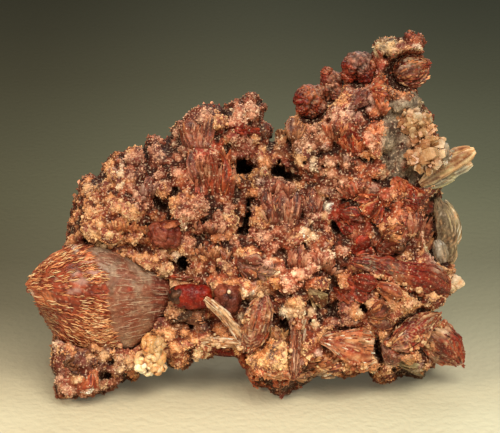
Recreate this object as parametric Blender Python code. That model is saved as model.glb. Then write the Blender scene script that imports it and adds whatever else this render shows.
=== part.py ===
"""Stilbite and heulandite mineral specimen: a vuggy, crystal-crusted matrix that carries
one large stilbite sheaf, smaller sheaves, balls and blades, and tabular heulandite crystals.

Units are metres, +Z up. The origin is on the ground under the middle of the specimen,
+X runs along its length and -Y is the display side. All drawing points below are (u, v)
on a front elevation: one drawing unit is UNIT millimetres, u runs to the right and v runs
down, and the sheet is seen along a sight line that drops by SIGHT_DEG towards the back.
"""

import math
import random

import bmesh
import bpy
import numpy as np
from mathutils import Matrix, Vector
from mathutils.bvhtree import BVHTree

# ---------------------------------------------------------------- driving dimensions (mm, degrees)
UNIT = 0.2232  # one drawing unit
SIGHT_DEG = 18.0  # slope of the sight line
SIGHT_FAR = 550.0  # distance of the eye point
SHEET_U, SHEET_V = 250.0, 216.5  # drawing point on the sight line
SHEET_Z = 38.9  # its height above the ground
BASE_THICK = 18.0  # half depth of the matrix at the ground
THICK_TAPER = 0.085  # loss of half depth per mm of height
LEAN = 0.13  # how far the middle plane leans back per mm of height
LUMP_PITCH = 16.0  # drawing units between the lumps that build the matrix
SOCKET_GAP = 0.35  # air between a seated crystal and its socket
MATRIX_VOXEL = 0.9
MATRIX_TRIANGLES = 3500

MM = 0.001
COS, SIN = math.cos(math.radians(SIGHT_DEG)), math.sin(math.radians(SIGHT_DEG))

# ---------------------------------------------------------------- outline of the matrix, clockwise from the left
OUTLINE = {
    "left_shoulder": [(58, 262), (62, 250), (69, 239), (67, 231), (68, 222), (73, 213), (74, 207), (72, 200),
                      (78, 195), (78, 188), (82, 180), (87, 175), (91, 174), (96, 179), (103, 173), (103, 166),
                      (107, 161), (112, 160), (112, 154), (120, 152), (130, 150), (142, 149), (147, 144),
                      (151, 136), (160, 139), (166, 142), (174, 141)],
    "tall_ridge": [(173, 132), (176, 123), (183, 116), (192, 116), (197, 111), (210, 108), (220, 110)],
    "knob": [(224, 102), (231, 104), (243, 100), (250, 92), (259, 97), (267, 104), (264, 112), (261, 122),
             (272, 126), (271, 137), (268, 143)],
    "saddle": [(275, 141), (279, 133), (284, 138), (288, 136), (286, 130), (289, 118), (297, 117), (301, 122),
               (300, 110), (303, 101), (312, 96), (322, 92), (324, 82), (331, 76), (339, 82), (345, 84), (348, 72), (353, 62)],
    "tower": [(362, 61), (370, 60), (376, 54), (376, 44), (383, 39), (395, 39), (402, 38), (410, 29),
              (415, 34), (423, 36), (426, 43), (422, 51), (417, 58), (414, 66), (411, 76), (409, 86), (413, 90),
              (416, 96), (427, 110), (432, 118), (434, 130), (438, 136), (444, 142), (443, 152)],
    "right_flank": [(441, 165), (440, 180), (441, 190), (440, 201), (438, 215), (440, 235), (445, 250),
                    (450, 262), (450, 272), (448, 286), (443, 300), (434, 308), (438, 315), (441, 325),
                    (439, 345), (437, 366)],
    "underside": [(428, 369), (424, 377), (412, 377), (400, 374), (392, 381), (384, 384), (374, 380),
                  (371, 372), (356, 372), (347, 379), (335, 377), (322, 373), (308, 382), (299, 389),
                  (290, 397), (282, 402), (273, 400), (268, 391), (256, 388), (250, 377), (245, 364),
                  (236, 357), (226, 355), (212, 351), (210, 358), (200, 359), (192, 366), (183, 369),
                  (170, 363), (163, 362), (156, 365), (149, 362), (143, 364), (140, 370), (136, 379),
                  (128, 378), (118, 384), (113, 390), (98, 394), (90, 401), (76, 402), (60, 402)],
    "left_foot": [(54, 397), (54, 383), (58, 373), (63, 366), (57, 358), (55, 348), (54, 335), (54, 310),
                  (55, 285)],
}

# Broad swells and hollows of the display side: u, v, reach in u, reach in v, height in mm towards the viewer.
RELIEF = [
    (100, 296, 46, 44, -10.0), (110, 205, 34, 30, 2.5), (200, 150, 18, 40, 3.0), (240, 120, 22, 22, 2.5),
    (280, 215, 18, 30, 2.0), (285, 275, 50, 26, 4.0), (400, 285, 40, 18, 3.0), (370, 130, 40, 40, 1.5),
    (410, 345, 34, 24, 3.0), (300, 350, 40, 24, 3.0), (75, 380, 24, 18, 2.0), (245, 195, 10, 34, -5.0),
    (285, 172, 16, 8, -4.0), (245, 168, 14, 9, -4.0), (182, 258, 10, 14, -4.5), (335, 226, 9, 12, -3.0),
    (330, 305, 16, 26, -3.0), (190, 330, 26, 14, -2.5), (378, 348, 6, 26, -4.0), (165, 205, 14, 10, -2.0),
]
# Open vugs: u, v, depth of the centre (y in mm), half width, half height (drawing units), half depth (mm).
VUGS = [
    ("vug_knob", 246, 168, -14, 14, 9, 12), ("vug_saddle", 285, 174, -13, 15, 7, 10),
    ("vug_slot", 244, 216, -15, 6, 25, 13), ("vug_waist", 183, 259, -17, 9, 12, 9),
    ("vug_centre", 334, 226, -17, 7, 11, 7), ("vug_low", 283, 326, -19, 8, 11, 8),
    ("vug_right", 382, 329, -17, 7, 7, 7), ("vug_left", 163, 207, -15, 10, 7, 7),
    ("vug_shoulder", 174, 190, -13, 5, 9, 6), ("vug_brown", 336, 285, -18, 6, 14, 6),
    ("vug_lip", 388, 256, -17, 7, 5, 6), ("vug_foot", 106, 374, -13, 10, 8, 7),
]
# Lumps of the far side: how many are tried, the band of depth and height they fill, their radii (mm).
BACK_LUMPS, BACK_DEPTH, BACK_HEIGHT, BACK_RADIUS = 260, (4.0, 19.0), (1.0, 34.0), (4.0, 9.5)
# The arch between the left and the middle foot stays open to the far side: from x, to x, up to z (mm).
ARCH = (-27.0, 0.0, 9.0)
# Blocky crystals of the crust: how many, and their half sizes (mm).
CRUST, CRUST_SIZE = 520, (1.3, 3.0)


# ---------------------------------------------------------------- geometry helpers
def at(u, v, y):
    """The point of the drawing (u, v) that lies at depth y, in mm."""
    eye = np.array([0.0, -SIGHT_FAR * COS, SHEET_Z + SIGHT_FAR * SIN])
    ray = np.array([(u - SHEET_U) * UNIT,
                    SIGHT_FAR * COS + (SHEET_V - v) * UNIT * SIN,
                    -SIGHT_FAR * SIN + (SHEET_V - v) * UNIT * COS])
    return eye + ray * ((y - eye[1]) / ray[1])


def drawn(p):
    """Where the point p, in mm, lies on the drawing."""
    x, y, z = p[0], p[1] + SIGHT_FAR * COS, p[2] - SHEET_Z - SIGHT_FAR * SIN
    far = SIGHT_FAR / (y * COS - z * SIN)
    return np.array([SHEET_U + x * far / UNIT, SHEET_V - (y * SIN + z * COS) * far / UNIT])


def outline_points():
    return np.array([p for run in OUTLINE.values() for p in run], float)


def inside_depth(p, poly):
    """Distance from p to the outline in drawing units, negative outside."""
    a, b = poly, np.roll(poly, -1, axis=0)
    d = b - a
    t = np.clip(((p - a) * d).sum(1) / (d * d).sum(1), 0, 1)
    near = np.hypot(*(a + d * t[:, None] - p).T).min()
    up = (a[:, 1] > p[1]) != (b[:, 1] > p[1])
    with np.errstate(divide="ignore", invalid="ignore"):
        cross = a[:, 0] + (p[1] - a[:, 1]) / (b[:, 1] - a[:, 1]) * d[:, 0]
    return near if (up & (p[0] < cross)).sum() % 2 else -near


def height_of(v):
    return (400.0 - v) * UNIT / COS


def middle(u, v):
    """Depth of the middle plane of the matrix, in mm."""
    return (-5.0 + LEAN * height_of(v)
            + 8.0 * math.exp(-((u - 412) / 26) ** 2 - ((v - 372) / 14) ** 2))


def swell(u, v):
    return sum(h * math.exp(-((u - a) / p) ** 2 - ((v - b) / q) ** 2) for a, b, p, q, h in RELIEF)


def half_depths(u, v, d):
    """Half depth towards the viewer and away from it, d mm inside the outline."""
    full = BASE_THICK - THICK_TAPER * height_of(v)
    round_off = math.sqrt(max(0.0, 1 - (1 - min(d, 12.0) / 12.0) ** 2))
    most = 1.8 * d + 0.4
    front = min(full * round_off + swell(u, v) * min(1.0, d / 6.0), most)
    back = min(full * 0.95 * round_off, most)
    return max(front, 0.8), max(back, 0.8)


def new_object(name, mesh, colour, rough):
    obj = bpy.data.objects.new(name, mesh)
    bpy.context.scene.collection.objects.link(obj)
    mat = bpy.data.materials.new(name + "_finish")
    mat.use_nodes = True
    shader = mat.node_tree.nodes["Principled BSDF"]
    shader.inputs["Base Color"].default_value = (*colour, 1)
    shader.inputs["Roughness"].default_value = rough
    shader.inputs["Metallic"].default_value = 0.0
    mat.diffuse_color = (*colour, 1)
    mesh.materials.clear()
    mesh.materials.append(mat)
    return obj


def mesh_from(bm, name):
    mesh = bpy.data.meshes.new(name)
    bmesh.ops.recalc_face_normals(bm, faces=bm.faces)
    bm.to_mesh(mesh)
    bm.free()
    return mesh


def unit_ball(detail):
    bm = bmesh.new()
    bmesh.ops.create_icosphere(bm, subdivisions=detail, radius=1.0)
    mesh = bpy.data.meshes.new("unit_ball")
    bm.to_mesh(mesh)
    bm.free()
    return mesh


def unit_block(rng):
    """A blocky crystal with bevelled ends, two units across."""
    bm = bmesh.new()
    bmesh.ops.create_cube(bm, size=2.0)
    for v in bm.verts:
        if v.co.z > 0:
            v.co.x *= rng.uniform(0.35, 0.8)
            v.co.y *= rng.uniform(0.35, 0.8)
    mesh = bpy.data.meshes.new("unit_block")
    bm.to_mesh(mesh)
    bm.free()
    return mesh


def add_copy(bm, unit, place):
    mesh = unit.copy()
    mesh.transform(place)
    bm.from_mesh(mesh)
    bpy.data.meshes.remove(mesh)


def placed(centre, radii, turn=(0, 0, 0)):
    return (Matrix.Translation(Vector(centre) * MM)
            @ Matrix.Rotation(math.radians(turn[2]), 4, "Z")
            @ Matrix.Rotation(math.radians(turn[1]), 4, "Y")
            @ Matrix.Rotation(math.radians(turn[0]), 4, "X")
            @ Matrix.Diagonal((radii[0] * MM, radii[1] * MM, radii[2] * MM, 1)))


def applied(obj, *modifiers):
    """Adds the modifiers, then keeps their result as the object's own mesh."""
    for kind, settings in modifiers:
        m = obj.modifiers.new(kind.title(), kind)
        for key, value in settings.items():
            setattr(m, key, value)
    bpy.context.view_layer.update()
    graph = bpy.context.evaluated_depsgraph_get()
    made = bpy.data.meshes.new_from_object(obj.evaluated_get(graph))
    made.name = obj.name
    old = obj.data
    obj.modifiers.clear()
    obj.data = made
    bpy.data.meshes.remove(old)
    return obj


def triangles(obj):
    obj.data.calc_loop_triangles()
    return len(obj.data.loop_triangles)


def thinned(obj, wanted):
    """Brings the object down to about this many triangles."""
    share = wanted / max(triangles(obj), 1)
    if share < 1:
        applied(obj, ("DECIMATE", {"ratio": share, "use_collapse_triangulate": True}))
    return obj


def on_ground(obj):
    """Cuts the object off flat at the ground and closes the cut."""
    bm = bmesh.new()
    bm.from_mesh(obj.data)
    if min(v.co.z for v in bm.verts) < 0:
        cut = bmesh.ops.bisect_plane(bm, geom=bm.verts[:] + bm.edges[:] + bm.faces[:], dist=1e-6,
                                     plane_co=(0, 0, 0), plane_no=(0, 0, 1), clear_inner=True)
        rim = [e for e in cut["geom_cut"] if isinstance(e, bmesh.types.BMEdge)]
        bmesh.ops.holes_fill(bm, edges=[e for e in rim if len(e.link_faces) == 1], sides=0)
        bmesh.ops.triangulate(bm, faces=bm.faces)
    bmesh.ops.recalc_face_normals(bm, faces=bm.faces)
    bm.to_mesh(obj.data)
    bm.free()


# ---------------------------------------------------------------- the matrix
def build_matrix():
    rng = random.Random(11)
    poly = outline_points()
    ball = unit_ball(2)
    bm = bmesh.new()

    def lump(p, spread, rise=1.0):
        """A lump at drawing point p whose outline just reaches the outline of the matrix."""
        d = inside_depth(p, poly) * UNIT
        if d <= 0.8:
            return
        front, back = half_depths(*p, d)
        front *= 1 + rng.uniform(-0.07, 0.07) * spread
        back *= 1 + rng.uniform(-0.14, 0.10) * spread
        y = middle(*p) + (back - front) / 2
        flat = min(d * rise, 8.5)
        add_copy(bm, ball, placed(at(*p, y), (flat, (front + back) / 2, flat), (-SIGHT_DEG, 0, 0)))

    row, v = 0, poly[:, 1].min()
    while v < poly[:, 1].max():
        u = poly[:, 0].min() + (row % 2) * LUMP_PITCH / 2
        while u < poly[:, 0].max():
            lump(np.array([u, v]), 1.0)
            u += LUMP_PITCH
        v += LUMP_PITCH * 0.87
        row += 1
    # lumps hung on the outline keep its points sharp
    for i, p in enumerate(poly):
        side = poly[(i + 1) % len(poly)] - poly[i - 1]
        inward = np.array([-side[1], side[0]]) / max(np.hypot(*side), 1e-6)
        lump(p + inward * 9, 0.0, 1.02)
        lump(p + inward * 5, 0.0, 1.02)
    # the far side is thicker low down, and no lump of it shows past the outline
    for _ in range(BACK_LUMPS):
        p = (rng.uniform(-44, 46), rng.uniform(*BACK_DEPTH), rng.uniform(*BACK_HEIGHT))
        if p[1] > 19 - 0.32 * p[2]:
            continue
        if ARCH[0] - 6 < p[0] < ARCH[1] + 6 and p[2] < ARCH[2] + 7:
            continue
        r = min(rng.uniform(*BACK_RADIUS), inside_depth(drawn(p), poly) * UNIT)
        if r > 3:
            add_copy(bm, ball, placed(p, (r, r * rng.uniform(0.7, 1.0), r)))
    body = new_object("matrix", mesh_from(bm, "matrix"), (0.48, 0.27, 0.17), 0.7)
    applied(body, ("REMESH", {"mode": "VOXEL", "voxel_size": 1.4 * MM}))
    # the crust: blocky crystals that stand out of the surface in every direction
    bm = bmesh.new()
    bm.from_mesh(body.data)
    skin = [(f.calc_center_median() / MM, f.normal.copy()) for f in bm.faces]
    blocks_made = [unit_block(rng) for _ in range(12)]
    for _ in range(CRUST):
        p, n = rng.choice(skin)
        size = rng.uniform(*CRUST_SIZE)
        if inside_depth(drawn(p), poly) * UNIT < size * 0.75:
            size = CRUST_SIZE[0]
            p = p - n * 0.9
        if ARCH[0] < p[0] < ARCH[1] and p[2] < ARCH[2] and n.z < 0:
            continue
        turn = n.to_track_quat("Z", "Y").to_matrix().to_4x4() @ Matrix.Rotation(rng.uniform(0, 6.283), 4, "Z") \
            @ Matrix.Rotation(rng.uniform(-0.6, 0.6), 4, "X")
        add_copy(bm, rng.choice(blocks_made), Matrix.Translation((p + n * size * 0.25) * MM) @ turn
                 @ Matrix.Diagonal((size * MM, size * rng.uniform(0.6, 1.0) * MM, size * MM, 1)))
    bm.to_mesh(body.data)
    bm.free()
    applied(body, ("REMESH", {"mode": "VOXEL", "voxel_size": MATRIX_VOXEL * MM}))
    return thinned(body, MATRIX_TRIANGLES)


# ---------------------------------------------------------------- crystals
def sheaf(name, stations, colour, rough, sides=14, squash=0.85, ribs=0.05):
    """A spindle-shaped bundle of stilbite: stations are (u, v, y, half width in drawing units) along its axis."""
    bm = bmesh.new()
    centres = [Vector(at(u, v, y)) for u, v, y, r in stations]
    rings = []
    for i, (u, v, y, r) in enumerate(stations):
        along = (centres[min(i + 1, len(centres) - 1)] - centres[max(i - 1, 0)]).normalized()
        view = Vector((0, COS, -SIN))
        side = along.cross(view).normalized()
        deep = side.cross(along).normalized()
        ring = []
        for k in range(sides):
            a = 2 * math.pi * k / sides
            rib = 1 + ribs * (1 if k % 2 else -1)
            ring.append(bm.verts.new((centres[i] + side * math.cos(a) * r * UNIT * rib
                                      + deep * math.sin(a) * r * UNIT * squash * rib) * MM))
        rings.append(ring)
    for one, two in zip(rings, rings[1:]):
        bmesh.ops.bridge_loops(bm, edges=[bm.edges.get((a, b)) or bm.edges.new((a, b))
                                          for ring in (one, two) for a, b in zip(ring, ring[1:] + ring[:1])])
    bm.faces.new(rings[0])
    bm.faces.new(rings[-1])
    bmesh.ops.triangulate(bm, faces=bm.faces)
    return new_object(name, mesh_from(bm, name), colour, rough)


def tablet(name, corners, y_front, thick, colour, rough, slope=(0.0, 0.0), inset=0.82):
    """A coffin-shaped tabular crystal: a prism on these drawing corners, narrowed towards both faces.
    slope is the change of depth in mm per drawing unit along u and along v."""
    bm = bmesh.new()
    mid_u = sum(c[0] for c in corners) / len(corners)
    mid_v = sum(c[1] for c in corners) / len(corners)
    for share, drop in ((inset, 0.0), (1.0, 0.28), (1.0, 0.72), (inset, 1.0)):
        for u, v in corners:
            a, b = mid_u + (u - mid_u) * share, mid_v + (v - mid_v) * share
            y = y_front + thick * drop + slope[0] * (a - mid_u) + slope[1] * (b - mid_v)
            bm.verts.new(Vector(at(a, b, y)) * MM)
    hull = bmesh.ops.convex_hull(bm, input=bm.verts)
    spare = {g for g in hull["geom_interior"] + hull["geom_unused"] if isinstance(g, bmesh.types.BMVert)}
    bmesh.ops.delete(bm, geom=list(spare), context="VERTS")
    bmesh.ops.triangulate(bm, faces=bm.faces)
    return new_object(name, mesh_from(bm, name), colour, rough)


def lumps(name, parts, colour, rough, wanted, voxel=0.55):
    """Overlapping rounded bodies grown into one: parts are (u, v, y, ru, rv in drawing units, ry in mm, turn)."""
    bm = bmesh.new()
    ball = unit_ball(3)
    for u, v, y, ru, rv, ry, turn in parts:
        add_copy(bm, ball, placed(at(u, v, y), (ru * UNIT, ry, rv * UNIT), (0, turn, 0)))
    obj = new_object(name, mesh_from(bm, name), colour, rough)
    applied(obj, ("REMESH", {"mode": "VOXEL", "voxel_size": voxel * MM}))
    return thinned(obj, wanted)


def blocks(name, parts, colour, rough, wanted, voxel=0.45):
    """Intergrown blocky crystals in one solid: parts are (corners, y_front, thick, slope)."""
    bm = bmesh.new()
    for corners, y_front, thick, slope in parts:
        piece = tablet("_tmp", corners, y_front, thick, colour, rough, slope, 0.86)
        bm.from_mesh(piece.data)
        mesh, mat = piece.data, piece.data.materials[0]
        bpy.data.objects.remove(piece)
        bpy.data.meshes.remove(mesh)
        bpy.data.materials.remove(mat)
    mesh = bpy.data.meshes.new(name)
    bm.to_mesh(mesh)
    bm.free()
    obj = new_object(name, mesh, colour, rough)
    if len(parts) > 1:
        applied(obj, ("REMESH", {"mode": "VOXEL", "voxel_size": voxel * MM}))
        thinned(obj, wanted)
    return obj


RED = (0.36, 0.075, 0.04)
RUST = (0.45, 0.16, 0.07)
DEEP = (0.27, 0.02, 0.012)
CREAM = (0.83, 0.62, 0.38)
PEACH = (0.72, 0.44, 0.22)
GREY = (0.42, 0.34, 0.24)


def build_crystals():
    made = []
    made.append(sheaf("stilbite_sheaf_large", [
        (26, 284.5, -12, 1.5), (31, 286.5, -12, 8.5), (40, 289.5, -12, 21.5), (50, 292, -12, 36),
        (60, 294.5, -12, 46), (75, 295.5, -12, 53), (90, 296.5, -12, 55.5), (105, 298, -12, 54),
        (120, 300.5, -12, 49), (135, 301.5, -12.5, 43), (150, 300.5, -13, 34), (158, 297, -13.5, 25),
        (165, 293, -14, 16)], RUST, 0.45, sides=18, squash=0.8, ribs=0.015))
    made.append(tablet("heulandite_red_center", [
        (170, 297), (177, 288), (190, 284), (203, 287), (211, 296), (207, 306), (196, 310), (180, 306)],
        -20.5, 5.0, DEEP, 0.25, (0.01, 0.04)))
    made.append(tablet("heulandite_red_left", [
        (152, 225), (160, 220), (172, 220), (179, 227), (178, 240), (170, 247), (157, 246), (151, 236)],
        -16.5, 5.0, RED, 0.35, (-0.02, -0.05)))
    made.append(tablet("heulandite_dark_center", [
        (214, 291), (221, 281), (232, 280), (240, 287), (240, 301), (233, 313), (226, 316), (217, 308)],
        -20.3, 5.5, DEEP, 0.3, (0.0, -0.05)))
    made.append(blocks("calcite_cluster", [
        ([(144, 336), (156, 334), (161, 342), (160, 358), (150, 362), (143, 354)], -17.5, 8.5, (0.0, 0.03)),
        ([(138, 357), (147, 350), (157, 356), (158, 368), (149, 374), (141, 367)], -18.5, 8.5, (0.03, 0.0)),
        ([(150, 352), (160, 350), (163, 360), (160, 369), (153, 374), (147, 364)], -16.8, 8.5, (-0.03, 0.04)),
    ], CREAM, 0.4, 200))
    made.append(lumps("stilbite_ball_outer", [
        (309, 101, 1.5, 12.8, 15.5, 3.4, -12), (306, 98, 1.0, 9.5, 11, 3.2, 20)], RUST, 0.5, 180))
    made.append(lumps("stilbite_knob_upper", [
        (330, 83, 3.0, 8.4, 12.5, 2.6, 8), (333, 92, 3.2, 7.5, 8, 2.4, 0)], RUST, 0.5, 140))
    made.append(lumps("stilbite_ball_top", [
        (357, 66, 1.5, 13.5, 14.5, 3.6, 0), (366, 61, 2.2, 9, 9.5, 3.0, 0)], RUST, 0.5, 180))
    made.append(sheaf("stilbite_barrel_crown", [
        (399, 79, 3.0, 5), (404, 77, 3.0, 10), (411, 73, 2.6, 14), (418, 69, 2.6, 15), (424, 67, 3.0, 12),
        (428, 66, 3.2, 6)], RED, 0.45, sides=12, squash=0.8, ribs=0.03))
    made.append(tablet("stilbite_fin", [
        (421, 183), (424, 174), (440, 158), (454, 148), (463, 145), (473, 145), (477, 149), (471, 156),
        (471, 162), (461, 173), (452, 178), (438, 183)], -8.0, 3.2, GREY, 0.45, (0.08, 0.0), 0.93))
    made.append(blocks("stilbite_plates_right", [
        ([(430, 205), (445, 205), (453, 213), (458, 222), (459, 234), (452, 240), (440, 232), (430, 222)],
         3.0, 2.6, (0.02, 0.0)),
        ([(440, 226), (455, 229), (460, 238), (459, 250), (455, 257), (450, 256), (446, 244)],
         4.2, 2.4, (0.0, 0.02))], GREY, 0.45, 120))
    made.append(tablet("heulandite_tip_right", [
        (440, 276), (456, 274), (463, 278), (466, 284), (462, 291), (453, 295), (440, 290)],
        -5.0, 4.5, PEACH, 0.4, (0.0, 0.0)))
    made.append(blocks("heulandite_peach_upper", [
        ([(404, 112), (412, 108), (421, 112), (422, 122), (417, 130), (407, 127), (402, 120)], -8.6, 3.6, (0.02, 0.0)),
        ([(406, 127), (413, 125), (417, 131), (413, 137), (406, 136)], -9.2, 3.4, (0.0, 0.03)),
        ([(418, 116), (426, 113), (432, 122), (433, 132), (424, 134), (418, 126)], -7.2, 3.4, (0.06, 0.0)),
    ], PEACH, 0.4, 150))
    made.append(blocks("heulandite_peach_lower", [
        ([(421, 139), (432, 136), (443, 140), (443, 146), (432, 150), (422, 147)], -10.5, 4.6, (0.05, 0.0)),
        ([(412, 151), (425, 147), (437, 151), (438, 161), (430, 168), (417, 166), (411, 160)], -11.8, 5.0, (0.03, 0.0)),
        ([(434, 148), (443, 150), (446, 158), (440, 167), (434, 164)], -9.0, 4.4, (0.08, 0.0)),
    ], PEACH, 0.4, 150))
    made.append(sheaf("stilbite_sheaf_right", [
        (352, 262, -18.5, 5), (366, 263, -18.5, 8.5), (384, 268, -18.2, 11), (404, 274, -17.5, 15),
        (422, 279, -16.0, 18), (434, 283, -14.0, 16.5), (443, 288, -12.0, 11), (448, 292, -11, 5)],
        RED, 0.4, sides=12, squash=0.62, ribs=0.03))
    made.append(sheaf("stilbite_bow_lower_right", [
        (392, 346, -18.5, 7), (400, 341, -18.5, 12), (411, 333, -17.2, 14), (423, 325, -15.5, 13),
        (432, 319, -13.5, 9), (437, 316, -12.5, 4)], RED, 0.4, sides=12, squash=0.6, ribs=0.03))
    made.append(sheaf("stilbite_wedge_lower_right", [
        (430, 337, -8.5, 8), (438, 340, -8, 15), (446, 343, -8, 18), (452, 346, -8, 17), (457, 350, -7.5, 13.5), (461, 354, -7, 9),
        (463, 357, -7, 4)], RED, 0.45, sides=12, squash=0.7, ribs=0.03))
    made.append(sheaf("stilbite_fan_lower_center", [
        (322, 340, -19, 6), (338, 343, -19.3, 12), (354, 347, -18.8, 19), (366, 350, -17.8, 22),
        (372, 351, -17, 19)], RUST, 0.45, sides=12, squash=0.5, ribs=0.03))
    made.append(sheaf("stilbite_sheaf_center", [
        (264, 297, -20.5, 5), (262, 304, -21, 10.5), (259, 316, -21.3, 13.5), (256, 329, -21.2, 13.5),
        (252, 342, -20.6, 11), (249, 351, -20, 5)], RUST, 0.45, sides=12, squash=0.6, ribs=0.03))
    made.append(blocks("stilbite_blade_cross", [
        ([(205, 302), (209, 298), (229, 316), (243, 334), (241, 344), (234, 341), (217, 321)], -20.8, 5.0, (0.02, 0.0)),
        ([(202, 337), (218, 337), (236, 338), (243, 343), (240, 350), (220, 350), (203, 347)], -20.5, 5.5, (-0.01, 0.0)),
    ], CREAM, 0.5, 130))
    made.append(tablet("stilbite_blade_vertical", [
        (291, 318), (296, 315), (299, 322), (300, 350), (299, 372), (294, 375), (290, 370), (290, 340)],
        -22.4, 4.4, (0.5, 0.26, 0.2), 0.4, (0.0, -0.03)))
    return made


# ---------------------------------------------------------------- sockets
def grown_copy(obj, by):
    """A cutter: the object's shape moved outwards by this many mm."""
    mesh = obj.data.copy()
    bm = bmesh.new()
    bm.from_mesh(mesh)
    bmesh.ops.recalc_face_normals(bm, faces=bm.faces)
    bm.normal_update()
    moves = [v.normal * v.calc_shell_factor() * by * MM for v in bm.verts]
    for v, move in zip(bm.verts, moves):
        v.co += move
    bm.to_mesh(mesh)
    bm.free()
    cutter = bpy.data.objects.new("cut_" + obj.name, mesh)
    bpy.context.scene.collection.objects.link(cutter)
    cutter.hide_render = True
    cutter.display_type = "WIRE"
    return cutter


def box_of(obj):
    co = np.array([v.co for v in obj.data.vertices])
    return co.min(0), co.max(0)


def near_each_other(a, b, gap=0.001):
    (al, ah), (bl, bh) = box_of(a), box_of(b)
    return bool(((al - gap < bh) & (bl - gap < ah)).all())


def vug_cutter(name, u, v, y, ru, rv, ry):
    bm = bmesh.new()
    add_copy(bm, unit_ball(1), placed(at(u, v, y), (ru * UNIT, ry, rv * UNIT), (-SIGHT_DEG, 0, 0)))
    obj = bpy.data.objects.new(name, mesh_from(bm, name))
    bpy.context.scene.collection.objects.link(obj)
    obj.hide_render = True
    obj.display_type = "WIRE"
    return obj


def largest_body(obj):
    """Drops chips that a cut has set free."""
    bm = bmesh.new()
    bm.from_mesh(obj.data)
    left, groups = set(bm.verts), []
    while left:
        stack, found = [left.pop()], []
        while stack:
            v = stack.pop()
            found.append(v)
            for e in v.link_edges:
                w = e.other_vert(v)
                if w in left:
                    left.remove(w)
                    stack.append(w)
        groups.append(found)
    groups.sort(key=len)
    if len(groups) > 1:
        bmesh.ops.delete(bm, geom=[v for g in groups[:-1] for v in g], context="VERTS")
    bm.to_mesh(obj.data)
    bm.free()


def centre_on_origin(objects):
    """Moves the whole specimen sideways until its box stands centred over the origin."""
    boxes = [box_of(obj) for obj in objects]
    low, high = np.min([b[0] for b in boxes], axis=0), np.max([b[1] for b in boxes], axis=0)
    mid = (low + high) / 2
    for obj in objects:
        obj.data.transform(Matrix.Translation((-mid[0], -mid[1], 0)))


def main():
    for obj in list(bpy.data.objects):
        bpy.data.objects.remove(obj)
    matrix = build_matrix()
    crystals = build_crystals()
    root = bpy.data.objects.new("specimen", None)
    bpy.context.scene.collection.objects.link(root)
    cutters = [grown_copy(crystal, SOCKET_GAP) for crystal in crystals]
    # a later crystal gives way to an earlier one that it grew against
    for i, crystal in enumerate(crystals):
        for other, cutter in zip(crystals[:i], cutters):
            if near_each_other(crystal, other):
                applied(crystal, ("BOOLEAN", {"operation": "DIFFERENCE", "solver": "EXACT", "object": cutter}))
                largest_body(crystal)
    for cutter in [vug_cutter(*vug) for vug in VUGS] + cutters:
        applied(matrix, ("BOOLEAN", {"operation": "DIFFERENCE", "solver": "EXACT", "object": cutter}))
        bpy.data.objects.remove(cutter)
    on_ground(matrix)
    largest_body(matrix)
    centre_on_origin([matrix] + crystals)
    for obj in [matrix] + crystals:
        obj.parent = root
        obj.data.shade_smooth()
        obj.data.set_sharp_from_angle(angle=math.radians(35))


if __name__ == "__main__":
    main()
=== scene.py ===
"""Looks of the stilbite and heulandite specimen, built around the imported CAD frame.

Drawing points are (u, v) on the front elevation used for the CAD: one unit is UNIT mm, u runs
right and v down, seen along a sight line that drops SIGHT_DEG towards the back. Depths are in mm.
"""

import math

import bpy
import numpy as np
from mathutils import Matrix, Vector
from mathutils.kdtree import KDTree


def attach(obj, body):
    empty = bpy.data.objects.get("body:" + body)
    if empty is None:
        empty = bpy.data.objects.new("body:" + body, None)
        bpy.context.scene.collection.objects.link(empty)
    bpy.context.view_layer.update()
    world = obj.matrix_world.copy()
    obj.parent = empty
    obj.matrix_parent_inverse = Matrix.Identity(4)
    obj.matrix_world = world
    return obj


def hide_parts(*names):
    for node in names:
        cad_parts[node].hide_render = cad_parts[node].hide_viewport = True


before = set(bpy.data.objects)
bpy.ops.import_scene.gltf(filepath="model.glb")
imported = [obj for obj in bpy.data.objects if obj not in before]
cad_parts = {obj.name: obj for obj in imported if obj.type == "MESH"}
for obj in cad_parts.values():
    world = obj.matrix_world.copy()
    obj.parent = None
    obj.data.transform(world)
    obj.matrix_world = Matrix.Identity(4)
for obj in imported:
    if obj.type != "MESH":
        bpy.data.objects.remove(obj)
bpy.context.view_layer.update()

MM = 0.001
UNIT, SIGHT_FAR = 0.2232, 550.0
SIGHT = math.radians(18.0)
COS, SIN = math.cos(SIGHT), math.sin(SIGHT)
SHEET_U, SHEET_V, SHEET_Z = 250.0, 216.5, 38.9
MOVE = np.array([-0.2154, -0.6657, 0.0])  # the CAD is centred on its own box
EYE = np.array([0.0, -SIGHT_FAR * COS, SHEET_Z + SIGHT_FAR * SIN])
BASE_THICK, THICK_TAPER, LEAN = 18.0, 0.085, 0.13


# ================================================================ drawing space
def at(u, v, y):
    """Points of the drawing at depth y, in mm in the row frame. Takes arrays."""
    u, v, y = np.broadcast_arrays(*(np.asarray(a, float) for a in (u, v, y)))
    ray = np.stack([(u - SHEET_U) * UNIT, SIGHT_FAR * COS + (SHEET_V - v) * UNIT * SIN,
                    -SIGHT_FAR * SIN + (SHEET_V - v) * UNIT * COS], -1)
    t = (y - EYE[1]) / ray[..., 1]
    return EYE + ray * t[..., None] + MOVE


def drawn(p):
    """(u, v, y) of points in the row frame."""
    q = np.asarray(p, float) - MOVE
    x, y, z = q[..., 0], q[..., 1] - EYE[1], q[..., 2] - EYE[2]
    far = SIGHT_FAR / (y * COS - z * SIN)
    return np.stack([SHEET_U + x * far / UNIT, SHEET_V - (y * SIN + z * COS) * far / UNIT, q[..., 1]], -1)


def height_of(v):
    return (400.0 - v) * UNIT / COS


def middle(u, v):
    return (-5.0 + LEAN * height_of(v)
            + 8.0 * np.exp(-((u - 412) / 26) ** 2 - ((v - 372) / 14) ** 2))


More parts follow.
